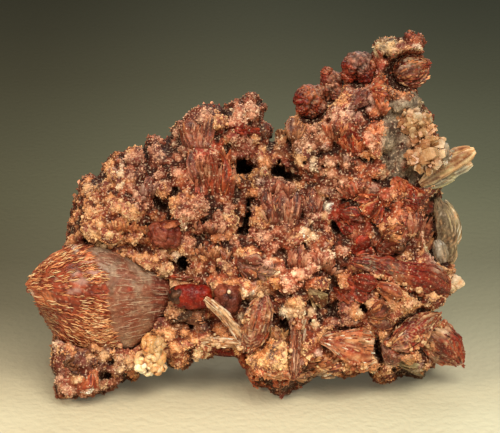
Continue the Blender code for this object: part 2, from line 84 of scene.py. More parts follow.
OUTLINE = np.array([
    # left foot, upwards behind the large sheaf
    (57, 399), (53, 396), (53, 385), (56, 380), (57, 374), (60, 370), (63, 368), (62, 363), (58, 361), (55, 359),
    (53, 355), (53, 345), (54, 335), (56, 318), (60, 300), (62, 280), (64, 262), (64, 250), (66, 241), (68, 238),
    # left shoulder
    (67, 232), (68, 226), (70, 218), (72, 212), (74, 207), (72, 200), (76, 196), (80, 193), (78, 188), (80, 184),
    (82, 178), (86, 175), (90, 173), (94, 177), (98, 177), (103, 172), (102, 167), (105, 163), (111, 160),
    (111, 155), (114, 152), (124, 152), (133, 149), (141, 149), (145, 149), (146, 144), (149, 139), (153, 135),
    (158, 137), (165, 144), (170, 142), (174, 138),
    # tall ridge and knob
    (173, 131), (176, 125), (178, 121), (183, 118), (186, 115), (190, 116), (195, 112), (200, 109), (211, 108),
    (216, 110), (220, 112), (223, 108), (223, 103), (225, 101), (228, 103), (230, 106), (232, 102), (236, 100),
    (241, 100), (245, 96), (249, 92), (252, 92), (254, 95), (259, 98), (260, 102), (257, 104), (265, 103),
    (268, 106), (268, 109), (264, 112), (264, 119), (260, 121), (262, 124), (268, 124), (273, 127), (272, 131),
    (270, 133), (273, 138), (268, 141),
    # saddle
    (271, 143), (275, 141), (277, 136), (279, 133), (282, 135), (285, 138), (287, 136), (285, 132), (287, 127),
    (288, 120), (290, 117), (292, 119), (296, 116), (298, 113), (301, 106), (306, 100), (314, 97), (322, 92),
    (325, 83), (332, 78), (339, 84), (344, 82), (347, 72), (353, 63), (362, 61), (370, 60),
    # tower and summit
    (375, 52), (376, 46), (378, 42), (383, 39), (388, 38), (393, 40), (399, 40), (403, 38), (406, 34), (408, 31),
    (411, 29), (414, 32), (416, 36), (419, 35), (424, 37), (426, 42), (424, 46), (421, 48), (422, 52), (421, 54),
    (417, 58), (414, 66), (411, 76), (409, 85), (414, 88), (415, 92), (420, 101), (425, 107), (430, 114),
    (432, 118), (433, 124), (436, 134), (437, 138), (442, 140), (444, 144), (446, 150), (444, 160),
    # right flank
    (442, 172), (442, 184), (441, 190), (440, 196), (441, 202), (440, 215), (441, 230), (443, 245), (449, 258),
    (451, 263), (453, 267), (453, 275), (450, 286), (451, 295), (444, 299), (443, 302), (438, 305), (433, 308),
    (431, 311), (435, 312), (440, 314), (442, 325), (442, 345), (438, 362),
    # underside
    (428, 368), (425, 370), (425, 376), (421, 379), (414, 379), (407, 377), (401, 375), (396, 376), (392, 380),
    (387, 383), (381, 384), (376, 382), (372, 379), (370, 375), (371, 370), (365, 371), (358, 373), (352, 376),
    (345, 378), (338, 377), (333, 374), (325, 373), (318, 376), (312, 379), (307, 384), (303, 387), (297, 388),
    (294, 390), (291, 394), (287, 398), (281, 401), (275, 399), (270, 396), (269, 391), (267, 387), (262, 386),
    (257, 387), (252, 385), (250, 375), (247, 372), (248, 366), (243, 363), (239, 359), (235, 354), (231, 352),
    (220, 351), (215, 352), (211, 356), (211, 359), (203, 359), (196, 359), (192, 357), (194, 361), (190, 366),
    (183, 369), (178, 367), (172, 366), (169, 363), (163, 362), (156, 364), (149, 362), (143, 366), (141, 369),
    (139, 373), (138, 379), (133, 382), (128, 378), (124, 380), (119, 382), (116, 383), (116, 389), (112, 391),
    (105, 392), (100, 393), (96, 396), (90, 398), (84, 397), (73, 399), (65, 400),
], float)


def inside_depth(u, v, poly):
    """Distance in drawing units from points to a closed outline, negative outside."""
    p = np.stack([np.ravel(u), np.ravel(v)], 1)
    best = np.full(len(p), 1e9)
    inside = np.zeros(len(p), bool)
    for a, b in zip(poly, np.roll(poly, -1, axis=0)):
        d = b - a
        t = np.clip(((p - a) @ d) / max(d @ d, 1e-9), 0, 1)
        q = a + t[:, None] * d - p
        best = np.minimum(best, (q * q).sum(1))
        if a[1] != b[1]:
            hit = ((a[1] > p[:, 1]) != (b[1] > p[:, 1])) & (
                p[:, 0] < a[0] + (p[:, 1] - a[1]) / (b[1] - a[1]) * d[0])
            inside ^= hit
    best = np.sqrt(best)
    return np.where(inside, best, -best).reshape(np.shape(u))


# ================================================================ noise
def _hash(ix, iy, iz, seed):
    h = (ix.astype(np.int64) * 73856093) ^ (iy.astype(np.int64) * 19349663) ^ (iz.astype(np.int64) * 83492791)
    h = (h + seed * 2654435761) & 0xFFFFFFFF
    h = ((h ^ (h >> 16)) * 0x45D9F3B) & 0xFFFFFFFF
    h = ((h ^ (h >> 16)) * 0x45D9F3B) & 0xFFFFFFFF
    return (h ^ (h >> 16)) & 0xFFFFFFFF


def value_noise(p, size, seed=0):
    """Smooth noise in 0..1 with this cell size."""
    q = p / size
    i = np.floor(q).astype(np.int64)
    f = (q - i).astype(np.float32)
    f = f * f * (3 - 2 * f)
    out = np.zeros(len(p), np.float32)
    for dx in (0, 1):
        wx = f[:, 0] if dx else 1 - f[:, 0]
        for dy in (0, 1):
            wy = f[:, 1] if dy else 1 - f[:, 1]
            for dz in (0, 1):
                wz = f[:, 2] if dz else 1 - f[:, 2]
                out += wx * wy * wz * (_hash(i[:, 0] + dx, i[:, 1] + dy, i[:, 2] + dz, seed) / 4294967295.0
                                       ).astype(np.float32)
    return out


def fbm(p, size, octaves=3, seed=0):
    total, amp, norm = 0, 1.0, 0.0
    for k in range(octaves):
        total = total + amp * value_noise(p + 17.3 * k, size / 2 ** k, seed + k)
        norm += amp
        amp *= 0.5
    return total / norm


def cells(p, size, seed=0):
    """Distance to the nearest and to the second nearest scattered point, and a random number of the nearest."""
    q = p / size
    base = np.floor(q).astype(np.int64)
    near = np.full(len(p), 9.0, np.float32)
    next_ = np.full(len(p), 9.0, np.float32)
    who = np.zeros(len(p), np.float32)
    for dx in (-1, 0, 1):
        for dy in (-1, 0, 1):
            for dz in (-1, 0, 1):
                c = base + (dx, dy, dz)
                h = _hash(c[:, 0], c[:, 1], c[:, 2], seed)
                r = np.stack([(h & 1023), ((h >> 10) & 1023), ((h >> 20) & 1023)], 1) / 1023.0
                d = (((c + r - q) ** 2).sum(1)).astype(np.float32)
                closer = d < near
                next_ = np.where(closer, near, np.minimum(next_, d))
                who = np.where(closer, (h % 9973) / 9973.0, who)
                near = np.where(closer, d, near)
    return np.sqrt(near), np.sqrt(next_), who.astype(np.float32)


# ================================================================ colour
def linear(rgb):
    c = np.asarray(rgb, float) / 255.0
    return np.where(c <= 0.04045, c / 12.92, ((c + 0.055) / 1.055) ** 2.4)


PALETTES = {name: linear(cols) for name, cols in {
    "gold": [(216, 150, 100), (200, 130, 84), (230, 174, 122), (172, 104, 66), (142, 78, 50), (242, 202, 156)],
    "orange": [(212, 126, 82), (194, 102, 62), (222, 148, 102), (166, 78, 46), (232, 176, 132), (146, 66, 40)],
    "pink": [(206, 144, 114), (188, 120, 92), (222, 168, 138), (160, 92, 70), (236, 196, 168), (132, 70, 54)],
    "tan": [(196, 138, 96), (214, 164, 122), (166, 110, 74), (228, 192, 152), (140, 86, 58), (120, 70, 46)],
    "ochre": [(196, 134, 82), (174, 110, 64), (212, 160, 106), (146, 86, 50), (224, 184, 134), (122, 66, 38)],
    "cream": [(236, 194, 150), (246, 216, 180), (218, 166, 120), (200, 142, 98), (248, 228, 202), (180, 122, 82)],
    "white": [(240, 224, 202), (248, 240, 224), (222, 198, 170), (204, 172, 140), (250, 246, 236), (190, 150, 120)],
    "red": [(158, 58, 34), (174, 72, 42), (134, 42, 26), (192, 92, 58), (148, 50, 30), (108, 32, 20)],
    "deep": [(142, 34, 18), (160, 46, 25), (114, 24, 14), (174, 62, 34), (128, 28, 16), (92, 18, 12)],
    "rust": [(146, 70, 46), (126, 54, 34), (168, 90, 60), (104, 42, 26), (186, 112, 78), (86, 34, 22)],
    "maroon": [(112, 54, 42), (132, 66, 50), (90, 38, 28), (148, 82, 64), (104, 46, 36), (74, 28, 20)],
    "brown": [(124, 76, 50), (102, 58, 38), (150, 98, 68), (78, 42, 28), (168, 118, 86), (64, 34, 22)],
    "mauve": [(160, 116, 100), (178, 136, 120), (136, 90, 78), (194, 156, 140), (120, 72, 62), (206, 172, 158)],
    "grey": [(142, 128, 108), (162, 148, 128), (116, 102, 86), (180, 166, 146), (98, 84, 70), (196, 184, 166)],
    "greygreen": [(128, 110, 84), (106, 92, 70), (150, 132, 104), (88, 76, 58), (164, 134, 104), (120, 92, 66)],
    "plate": [(168, 142, 100), (186, 162, 118), (146, 118, 80), (204, 184, 142), (128, 100, 66), (212, 194, 156)],
    "peach": [(206, 142, 92), (220, 164, 116), (190, 124, 78), (232, 186, 140), (168, 104, 66), (240, 206, 164)],
    "honey": [(204, 150, 96), (216, 166, 112), (186, 130, 80), (230, 188, 138), (164, 108, 64), (238, 204, 158)],
    "slate": [(140, 122, 102), (124, 106, 88), (154, 136, 114), (108, 92, 76), (168, 150, 126), (90, 72, 58)],
    "garnet": [(138, 24, 8), (152, 34, 12), (118, 18, 7), (164, 46, 20), (128, 20, 8), (94, 14, 6)],
    "dark": [(62, 40, 30), (80, 52, 38), (46, 30, 22), (98, 66, 48), (56, 34, 24), (40, 26, 20)],
}.items()}
for _name, _cols in PALETTES.items():
    _deep = 1 - np.clip(_cols.mean(1, keepdims=True) / 0.30, 0, 1)
    if _name in ("honey", "peach"):
        _cols *= (0.74, 0.75, 0.82)
    elif _name not in ("white", "greygreen", "plate", "slate", "grey", "mauve"):
        _cols *= np.array([0.90, 0.85, 0.80]) * (1 - _deep * np.array([0.0, 0.18, 0.34]))
    elif _name in ("grey", "mauve"):
        _cols *= (0.92, 0.88, 0.82)
PALETTE_NAMES = list(PALETTES)


def pick(palette, n, rng, spread=0.10):
    """n colours of this palette, each a little different."""
    cols = PALETTES[palette]
    weights = np.linspace(1.6, 0.6, len(cols))
    c = cols[rng.choice(len(cols), n, p=weights / weights.sum())]
    return np.clip(c * rng.normal(1.0, spread, (n, 1)) * rng.normal(1.0, spread * 0.3, (n, 3)), 0.002, 1.0)


# ================================================================ mineral zones of the display side
# name, u, v, reach u, reach v, turn (degrees), surface palette, crystal palette, crystal cover 0..1, lumpiness 0..1
ZONES = [
    ("shoulder_druse", 108, 205, 46, 52, 0, "rust", "gold", 1.0, 1.0),
    ("shoulder_top", 150, 165, 34, 22, -20, "maroon", "pink", 0.95, 0.9),
    ("shoulder_pink", 150, 190, 30, 18, -20, "rust", "pink", 0.95, 0.9),
    ("shoulder_edge_brown", 97, 182, 10, 6, -40, "brown", "brown", 0.8, 0.8),
    ("ridge_pink", 195, 140, 24, 34, 8, "maroon", "pink", 0.8, 0.5),
    ("ridge_fibres", 208, 172, 20, 30, 8, "red", "pink", 0.55, 0.4),
    ("ridge_low", 205, 215, 26, 22, 0, "rust", "pink", 0.95, 0.8),
    ("knob_druse", 245, 112, 22, 20, 0, "rust", "pink", 1.0, 0.8),
    ("knob_red", 238, 131, 16, 5, 0, "deep", "rust", 0.2, 0.4),
    # painted shade: the dark palette stands for a group of crystals that lies in shade behind the knob
    ("knob_lump_in_shade", 267, 131, 9, 8, 0, "dark", "brown", 0.8, 0.6),
    ("knob_low", 243, 148, 15, 10, 0, "rust", "pink", 0.95, 0.8),
    ("saddle_brown", 290, 145, 20, 16, 0, "brown", "tan", 0.85, 0.7),
    ("saddle_right", 322, 142, 26, 22, 0, "brown", "pink", 0.9, 0.8),
    ("bridge_ochre", 253, 178, 12, 9, 0, "brown", "ochre", 1.0, 0.9),
    ("centre_fibres", 284, 205, 24, 30, 0, "maroon", "pink", 0.85, 0.5),
    ("centre_right_pink", 312, 205, 20, 26, 10, "maroon", "pink", 0.8, 0.6),
    ("centre_white", 309, 234, 9, 7, 0, "tan", "white", 0.9, 0.6),
    ("centre_low", 262, 245, 40, 18, 0, "rust", "pink", 0.9, 0.8),
    ("centre_mauve", 262, 268, 26, 13, 10, "mauve", "pink", 0.55, 0.5),
    ("centre_druse", 298, 275, 32, 26, 0, "rust", "pink", 1.0, 1.0),
    ("centre_cream", 252, 260, 12, 8, -30, "tan", "cream", 0.9, 0.8),
    ("centre_white_edge", 266, 292, 8, 6, -40, "tan", "cream", 1.0, 0.5),
    ("cream_loops", 298, 314, 11, 12, 0, "tan", "cream", 1.0, 0.8),
    ("waist_low", 205, 262, 26, 14, 0, "rust", "tan", 0.95, 0.9),
    ("waist_left", 150, 250, 34, 14, 10, "rust", "gold", 0.95, 1.0),
    ("tall_upper", 346, 130, 26, 26, 0, "rust", "pink", 0.7, 0.6),
    ("tall_red", 352, 148, 18, 14, 0, "red", "rust", 0.4, 0.4),
    ("tall_mid", 345, 172, 30, 22, 0, "brown", "pink", 0.9, 0.9),
    ("tall_striped", 362, 95, 18, 22, 20, "mauve", "rust", 0.45, 0.4),
    ("tower_matrix", 399, 132, 19, 46, 8, "slate", "slate", 0.12, 0.05),
    ("tower_side", 424, 160, 22, 26, 0, "slate", "tan", 0.3, 0.2),
    ("tower_crumbs", 377, 128, 6, 22, 8, "rust", "orange", 0.9, 0.7),
    ("tower_edge", 428, 116, 8, 16, -20, "plate", "plate", 0.5, 0.3),
    ("summit", 402, 50, 22, 16, 0, "rust", "rust", 0.9, 0.8),
    ("summit_left", 386, 45, 9, 9, 0, "greygreen", "plate", 0.6, 0.5),
    ("summit_red", 382, 66, 10, 14, 0, "red", "rust", 0.4, 0.4),
    ("summit_neck", 396, 86, 16, 12, 30, "brown", "orange", 0.7, 0.5),
    ("right_reds", 385, 215, 46, 26, 0, "red", "rust", 0.55, 0.5),
    ("right_tan_upper", 372, 172, 16, 10, 0, "rust", "orange", 0.9, 0.8),
    ("right_druse", 412, 205, 24, 18, 0, "rust", "orange", 0.8, 0.7),
    ("right_pink_tan", 428, 235, 14, 22, 0, "rust", "gold", 0.75, 0.6),
    ("right_grey_plate", 438, 248, 9, 14, -20, "plate", "plate", 0.15, 0.2),
    ("fan_brown", 392, 240, 20, 14, 0, "rust", "rust", 0.6, 0.4),
    ("red_wedge_left", 345, 218, 14, 10, 20, "deep", "rust", 0.25, 0.3),
    ("red_bulge", 358, 242, 14, 10, 30, "rust", "rust", 0.6, 0.5),
    ("low_right_druse", 385, 288, 50, 20, 0, "rust", "gold", 0.95, 0.9),
    ("red_patch_low", 355, 285, 16, 10, 10, "deep", "gold", 0.3, 0.4),
    ("low_right_band", 420, 302, 26, 8, -8, "rust", "gold", 0.9, 0.8),
    ("bow_crust", 412, 318, 30, 12, -25, "rust", "gold", 0.85, 0.6),
    ("bow_low", 395, 352, 22, 18, 0, "mauve", "gold", 0.5, 0.4),
    ("low_gold", 330, 300, 24, 24, 0, "rust", "gold", 0.95, 0.9),
    ("low_pink", 345, 315, 14, 14, 0, "maroon", "pink", 0.85, 0.7),
    ("low_middle_dark", 283, 322, 10, 22, 10, "dark", "brown", 0.7, 0.6),
    ("low_ochre", 275, 350, 24, 22, 0, "brown", "ochre", 1.0, 1.0),
    ("low_right_gold", 345, 365, 30, 9, 0, "rust", "gold", 0.95, 0.9),
    ("bottom_red", 280, 379, 32, 9, 3, "orange", "orange", 0.7, 0.5),
    ("bottom_foot", 282, 394, 16, 8, 0, "dark", "brown", 0.9, 0.7),
    ("bottom_white", 312, 378, 12, 4, -25, "cream", "white", 0.6, 0.3),
    ("arch_tan", 200, 345, 22, 14, 0, "rust", "tan", 1.0, 0.9),
    ("arch_dark", 190, 322, 28, 12, 0, "brown", "brown", 0.8, 0.7),
    ("waist_tan", 180, 310, 14, 8, 0, "rust", "tan", 0.95, 0.8),
    ("left_foot", 85, 375, 34, 26, 0, "maroon", "brown", 0.75, 0.8),
    ("left_foot_tan", 85, 388, 30, 10, 0, "rust", "pink", 0.8, 0.8),
    ("left_foot_orange", 94, 378, 5, 10, 10, "orange", "orange", 0.5, 0.5),
    ("left_foot_white", 86, 386, 5, 4, 0, "cream", "white", 0.7, 0.4),
    ("left_under", 62, 350, 12, 16, 0, "rust", "gold", 0.8, 0.8),
    ("far_right_foot", 412, 374, 18, 7, 0, "greygreen", "grey", 0.4, 0.3),
]

# dark vugs: u, v, reach u, reach v, turn (degrees), depth in mm
VUGS = [
    (240, 166, 8, 8, 0, 11), (247, 170, 6, 5, 0, 12), (276, 170, 7, 8, 30, 11), (287, 176, 12, 5, 12, 9),
    (297, 178, 6, 4, 0, 6), (248, 203, 2.6, 10, 5, 10), (247, 220, 3.6, 12, 8, 9), (243, 232, 7, 7, 0, 9),
    (217, 140, 3.2, 4, 0, 2.6), (210, 122, 2, 4.5, 0, 2.6), (226, 147, 5, 4, 0, 2.4), (175, 190, 4.5, 8, -10, 3.2),
    (162, 208, 7, 5, 20, 2.6), (148, 227, 6, 5, 0, 3.4), (183, 262, 6, 9, 0, 5), (281, 253, 9, 6, 0, 3),
    (334, 226, 4, 8, -10, 3.6), (334, 283, 5, 12, -35, 3.2), (284, 325, 6, 9, 15, 5), (288, 333, 5, 5, 0, 4),
    (364, 308, 5, 11, -40, 3), (384, 329, 5, 4, 0, 3.4), (377, 350, 2.6, 20, 0, 6), (388, 256, 5, 4, 0, 2.6),
    (403, 225, 2.4, 8, -15, 2.6), (305, 163, 4, 5, 20, 2.4), (387, 57, 4, 5, 30, 3), (341, 84, 3, 7, 0, 2.5),
    (112, 361, 5, 5, 0, 4), (104, 376, 8, 6, 0, 3.6), (163, 336, 3.4, 3.4, 0, 3), (216, 305, 4, 8, -20, 3),
    (192, 343, 2.2, 2.2, 0, 2.4), (125, 165, 2, 4, 0, 2.4),
]

# room kept clear in front of the crystals that have a socket: u, v, reach u, reach v, turn, depth in mm
CLEAR = [
    (309, 101, 13, 16, -12, 2.0), (330, 84, 9, 14, 8, 3.0), (358, 66, 14, 15, 0, 2.5), (411, 71, 19, 14, -15, 3.5),
    (190, 297, 23, 13, 5, -18.3), (228, 298, 14, 18, 0, -18.0), (165, 233, 15, 14, 0, -14.3),
    (416, 122, 16, 14, 0, -7.0), (430, 152, 18, 15, 0, -9.0), (396, 271, 46, 13, 12, -16.6), (428, 281, 20, 15, 20, -15),
    (414, 331, 26, 13, -38, -15.6), (352, 347, 28, 19, 4, -17.2), (257, 323, 13, 29, 8, -19.2),
    (224, 321, 29, 6, 49, -18.6), (222, 343, 21, 7, 2, -18.6), (295, 345, 6, 30, 0, -20.0), (151, 354, 12, 20, 0, -14.5),
    (446, 230, 16, 26, -10, 4.2), (453, 284, 14, 10, 0, -3.0), (438, 342, 14, 20, 0, -8.0), (432, 168, 26, 14, -30, -6.0),
]

# broad relief of the display side, as in the CAD: u, v, reach u, reach v, height in mm towards the viewer
RELIEF = [
    (100, 296, 46, 44, -10.0), (110, 205, 34, 30, 2.5), (200, 150, 18, 40, 3.0), (240, 120, 22, 22, 2.5),
    (280, 215, 18, 30, 2.0), (285, 275, 50, 26, 4.0), (400, 285, 40, 18, 3.0), (370, 130, 40, 40, 1.5),
    (410, 345, 34, 24, 3.0), (300, 350, 40, 24, 3.0), (75, 380, 24, 18, 2.0), (245, 195, 10, 34, -5.0),
    (285, 172, 16, 8, -4.0), (245, 168, 14, 9, -4.0), (182, 258, 10, 14, -4.5), (335, 226, 9, 12, -3.0),
    (330, 305, 16, 26, -3.0), (190, 330, 26, 14, -2.5), (378, 348, 6, 26, -4.0), (165, 205, 14, 10, -2.0),
    # smaller shapes: knobs, ledges and folds that carry the druse
    (85, 200, 12, 14, 1.6), (108, 180, 13, 10, 1.6), (128, 172, 14, 12, 1.6), (152, 157, 12, 10, 1.4),
    (100, 222, 16, 12, 1.8), (128, 214, 16, 14, 2.2), (145, 205, 10, 9, 1.4), (166, 186, 9, 8, 1.4),
    (116, 238, 14, 6, 1.5), (190, 128, 10, 9, 1.2), (198, 160, 7, 18, 1.2), (213, 168, 5, 16, 1.2),
    (222, 165, 4, 12, 1.2), (237, 108, 12, 10, 1.8), (256, 112, 10, 9, 1.4), (217, 124, 8, 8, 1.4),
    (243, 148, 10, 8, 2.2), (263, 150, 9, 9, 1.8), (253, 177, 9, 7, 1.6), (229, 178, 5, 12, 1.4),
    (278, 200, 6, 16, 1.8), (290, 203, 5, 20, 1.8), (302, 196, 6, 10, 1.2), (312, 165, 9, 7, 1.8),
    (318, 142, 12, 10, 1.8), (300, 130, 8, 8, 1.2), (330, 130, 10, 12, 1.2), (345, 122, 8, 14, 1.6),
    (352, 170, 10, 9, 1.4), (330, 176, 10, 10, 1.4), (376, 168, 9, 8, 1.6), (308, 234, 9, 7, 1.6),
    (330, 212, 9, 8, 1.4), (262, 262, 18, 9, 1.6), (243, 252, 9, 7, 1.4), (310, 268, 12, 10, 1.8),
    (288, 282, 12, 9, 1.8), (316, 285, 10, 9, 1.4), (205, 252, 12, 7, 1.6), (212, 232, 9, 8, 1.4),
    (222, 262, 8, 6, 1.2), (200, 280, 8, 5, 1.2), (297, 313, 9, 10, 2.2), (275, 352, 12, 12, 1.6),
    (340, 318, 9, 10, 1.8), (325, 360, 14, 7, 1.6), (358, 366, 10, 6, 1.4), (405, 222, 8, 12, 1.4),
    (424, 214, 8, 10, 1.4), (428, 236, 8, 10, 1.2), (392, 240, 12, 9, 1.6), (366, 236, 9, 9, 1.4),
    (352, 214, 10, 8, 1.6), (378, 205, 14, 6, 1.8), (400, 296, 14, 7, 1.4), (424, 303, 10, 6, 1.4),
    (372, 296, 12, 7, 1.4), (200, 348, 12, 7, 2.2), (215, 340, 8, 5, 1.4), (185, 350, 8, 9, 1.6),
    (125, 362, 8, 7, 1.8), (95, 378, 7, 10, 1.6), (72, 388, 12, 8, 1.4), (108, 385, 9, 6, 1.2),
    (62, 352, 6, 7, 1.2), (390, 365, 12, 8, 1.4), (400, 350, 9, 10, 1.4), (386, 105, 6, 9, 1.2),
    (390, 132, 7, 8, 1.2), (402, 45, 10, 7, 1.2), (386, 46, 7, 6, 1.2), (410, 36, 4, 5, 1.2),
    (152, 248, 16, 7, 1.2), (180, 226, 9, 9, 1.0), (172, 272, 8, 6, 1.0),
]


def vug_reach(u, v, cu, cv, ru, rv, turn):
    """Like turned, with a ragged edge."""
    q = turned(u, v, cu, cv, ru, rv, turn)
    shape = np.shape(q)
    p = np.stack([np.broadcast_to(u, shape).ravel(), np.broadcast_to(v, shape).ravel(), np.full(q.size, cu)], 1)
    rag = (fbm(p.astype(float), 5.0, 2, 57).reshape(shape) - 0.5) * 1.5
    return np.maximum(q + rag * np.clip(q, 0, 1), 0)


def swell(u, v):
    total = np.zeros(np.shape(u))
    for a, b, p, q, h in RELIEF:
        total += h * np.exp(-((u - a) / p) ** 2 - ((v - b) / q) ** 2)
    return total


def half_depths(u, v, d):
    """Half depth towards the viewer and away from it, d mm inside the outline."""
    full = BASE_THICK - THICK_TAPER * height_of(v)
    d = np.maximum(d, 0.0)
    round_off = np.sqrt(np.maximum(0.0, 1 - (1 - np.minimum(d, 9.0) / 9.0) ** 2))
    front = full * round_off + swell(u, v) * np.minimum(1.0, d / 4.0)
    back = full * 0.95 * round_off
    return np.maximum(front, 0.4), np.maximum(back, 0.4)


# ================================================================ grid of the matrix
STEP = 2.0
STEP_Y = 0.72  # mm
GU = np.arange(20.0, 482.0, STEP)
GV = np.arange(20.0, 410.0, STEP)
GY = np.arange(-27.5, 27.5, STEP_Y)
UU, VV = np.meshgrid(GU, GV, indexing="ij")


def grid_read(field, u, v):
    """Reads a (u, v) field between its grid points."""
    x = np.clip((np.asarray(u) - GU[0]) / STEP, 0, len(GU) - 1.001)
    y = np.clip((np.asarray(v) - GV[0]) / STEP, 0, len(GV) - 1.001)
    i, j = x.astype(int), y.astype(int)
    fx, fy = x - i, y - j
    return (field[i, j] * (1 - fx) * (1 - fy) + field[i + 1, j] * fx * (1 - fy)
            + field[i, j + 1] * (1 - fx) * fy + field[i + 1, j + 1] * fx * fy)


def grid_pick(field, u, v):
    i = np.clip(np.rint((np.asarray(u) - GU[0]) / STEP).astype(int), 0, len(GU) - 1)
    j = np.clip(np.rint((np.asarray(v) - GV[0]) / STEP).astype(int), 0, len(GV) - 1)
    return field[i, j]


def turned(u, v, cu, cv, ru, rv, turn):
    """Elliptical distance from a centre: 1 on the rim."""
    a = math.radians(turn)
    x, y = u - cu, v - cv
    p = (x * math.cos(a) + y * math.sin(a)) / ru
    q = (-x * math.sin(a) + y * math.cos(a)) / rv
    return np.sqrt(p * p + q * q)


def zone_of(u, v):
    """Index of the mineral zone at drawing points, with frayed borders. -1 where none is named."""
    u, v = np.asarray(u, float), np.asarray(v, float)
    flat = np.stack([u.ravel(), v.ravel(), np.zeros(u.size)], 1)
    fray = ((fbm(flat, 14.0, 3, 5) - 0.5) * 1.3).reshape(u.shape)
    found = np.full(u.shape, -1, int)
    for k, z in enumerate(ZONES):
        found[turned(u, v, *z[1:6]) + fray < 1.0] = k
    return found


BACK_ZONES = [  # the unseen side: surface palette, crystal palette, cover, lumpiness
    ("rust", "gold", 0.9, 0.9), ("brown", "tan", 0.8, 0.8), ("greygreen", "greygreen", 0.4, 0.4),
    ("maroon", "pink", 0.85, 0.7), ("red", "rust", 0.5, 0.5), ("brown", "ochre", 0.95, 0.9),
]


def back_zone(p):
    n = fbm(p, 16.0, 2, 41)
    return np.clip(((n - 0.28) / 0.44 * len(BACK_ZONES)).astype(int), 0, len(BACK_ZONES) - 1)


# ================================================================ meshes
def mesh_object(name, verts, faces, colours=None, smooth=False, sharp=None):
    """faces: (n, 3) or (n, 4) array. colours: (n_verts, 3) linear."""
    mesh = bpy.data.meshes.new(name)
    verts = np.ascontiguousarray(verts, np.float32)
    faces = np.ascontiguousarray(faces, np.int32)
    mesh.vertices.add(len(verts))
    mesh.vertices.foreach_set("co", (verts * MM).ravel())
    mesh.loops.add(faces.size)
    mesh.loops.foreach_set("vertex_index", faces.ravel())
    mesh.polygons.add(len(faces))
    mesh.polygons.foreach_set("loop_start", np.arange(0, faces.size, faces.shape[1], dtype=np.int32))
    mesh.polygons.foreach_set("use_smooth", np.full(len(faces), smooth, bool))
    if colours is not None:
        attr = mesh.color_attributes.new("Col", "FLOAT_COLOR", "POINT")
        rgba = np.ones((len(verts), 4), np.float32)
        rgba[:, :3] = colours
        attr.data.foreach_set("color", rgba.ravel())
    mesh.update(calc_edges=True)
    mesh.validate()
    obj = bpy.data.objects.new(name, mesh)
    bpy.context.scene.collection.objects.link(obj)
    return obj


def surface_nets(F):
    """Closed surface of F = 0 in grid coordinates: vertices and quads with outward faces (F > 0 is inside)."""
    inside = F > 0
    nx, ny, nz = F.shape
    corners = [(0, 0, 0), (1, 0, 0), (0, 1, 0), (1, 1, 0), (0, 0, 1), (1, 0, 1), (0, 1, 1), (1, 1, 1)]
    count = sum(inside[a:nx - 1 + a, b:ny - 1 + b, c:nz - 1 + c].astype(np.int8) for a, b, c in corners)
    active = (count > 0) & (count < 8)
    ci, cj, ck = np.nonzero(active)
    number = np.full(active.shape, -1, np.int32)
    number[ci, cj, ck] = np.arange(len(ci))
    total = np.zeros((len(ci), 3))
    hits = np.zeros(len(ci))
    pairs = [(a, b) for a in range(8) for b in range(a + 1, 8)
             if sum(abs(corners[a][k] - corners[b][k]) for k in range(3)) == 1]
    vals = np.stack([F[ci + a, cj + b, ck + c] for a, b, c in corners], 1)
    for a, b in pairs:
        fa, fb = vals[:, a], vals[:, b]
        cross = (fa > 0) != (fb > 0)
        t = np.where(cross, fa / np.where(fa == fb, 1, fa - fb), 0)
        pa, pb = np.array(corners[a], float), np.array(corners[b], float)
        total += np.where(cross[:, None], pa + t[:, None] * (pb - pa), 0)
        hits += cross
    verts = np.stack([ci, cj, ck], 1) + total / hits[:, None]
    quads = []
    for axis in range(3):
        o1, o2 = [k for k in range(3) if k != axis]
        lo = [slice(None)] * 3
        hi = [slice(None)] * 3
        lo[axis], hi[axis] = slice(0, -1), slice(1, None)
        a, b = inside[tuple(lo)], inside[tuple(hi)]
        e = np.array(np.nonzero(a != b))
        ok = (e[o1] > 0) & (e[o2] > 0) & (e[o1] < F.shape[o1] - 1) & (e[o2] < F.shape[o2] - 1)
        e = e[:, ok]
        out = a[tuple(e)]

        def cell(d1, d2):
            c = e.copy()
            c[o1] -= d1
            c[o2] -= d2
            return number[tuple(c)]

        q = np.stack([cell(1, 1), cell(0, 1), cell(0, 0), cell(1, 0)], 1)
        flip = out if axis != 1 else ~out
        q[~flip] = q[~flip][:, ::-1]
        quads.append(q)
    return verts, np.vstack(quads)


def keep_largest(verts, faces):
    """Drops every loose body but the biggest."""
    label = np.arange(len(verts))
    pairs = np.vstack([faces[:, [k, (k + 1) % faces.shape[1]]] for k in range(faces.shape[1])])
    for _ in range(400):
        low = np.minimum(label[pairs[:, 0]], label[pairs[:, 1]])
        new = label.copy()
        np.minimum.at(new, pairs[:, 0], low)
        np.minimum.at(new, pairs[:, 1], low)
        new = new[new]
        if (new == label).all():
            break
        label = new
    best = np.bincount(label).argmax()
    keep_v = label == best
    index = np.cumsum(keep_v) - 1
    return verts[keep_v], index[faces[keep_v[faces[:, 0]]]]


def face_normals(verts, faces):
    a = verts[faces[:, 2]] - verts[faces[:, 0]]
    b = verts[faces[:, -1]] - verts[faces[:, 1]]
    n = np.cross(a, b)
    size = np.linalg.norm(n, axis=1)
    return n / np.maximum(size, 1e-12)[:, None], size / 2


def domed(near):
    """Round-topped lumps with sharp creases, 0..1."""
    return np.sqrt(np.clip(1 - (near / 0.85) ** 2, 0, 1))


def blur(field, times=1):
    for _ in range(times):
        p = np.pad(field, 1, mode="edge")
        field = (p[:-2, 1:-1] + p[2:, 1:-1] + p[1:-1, :-2] + p[1:-1, 2:] + 4 * p[1:-1, 1:-1]) / 8
    return field


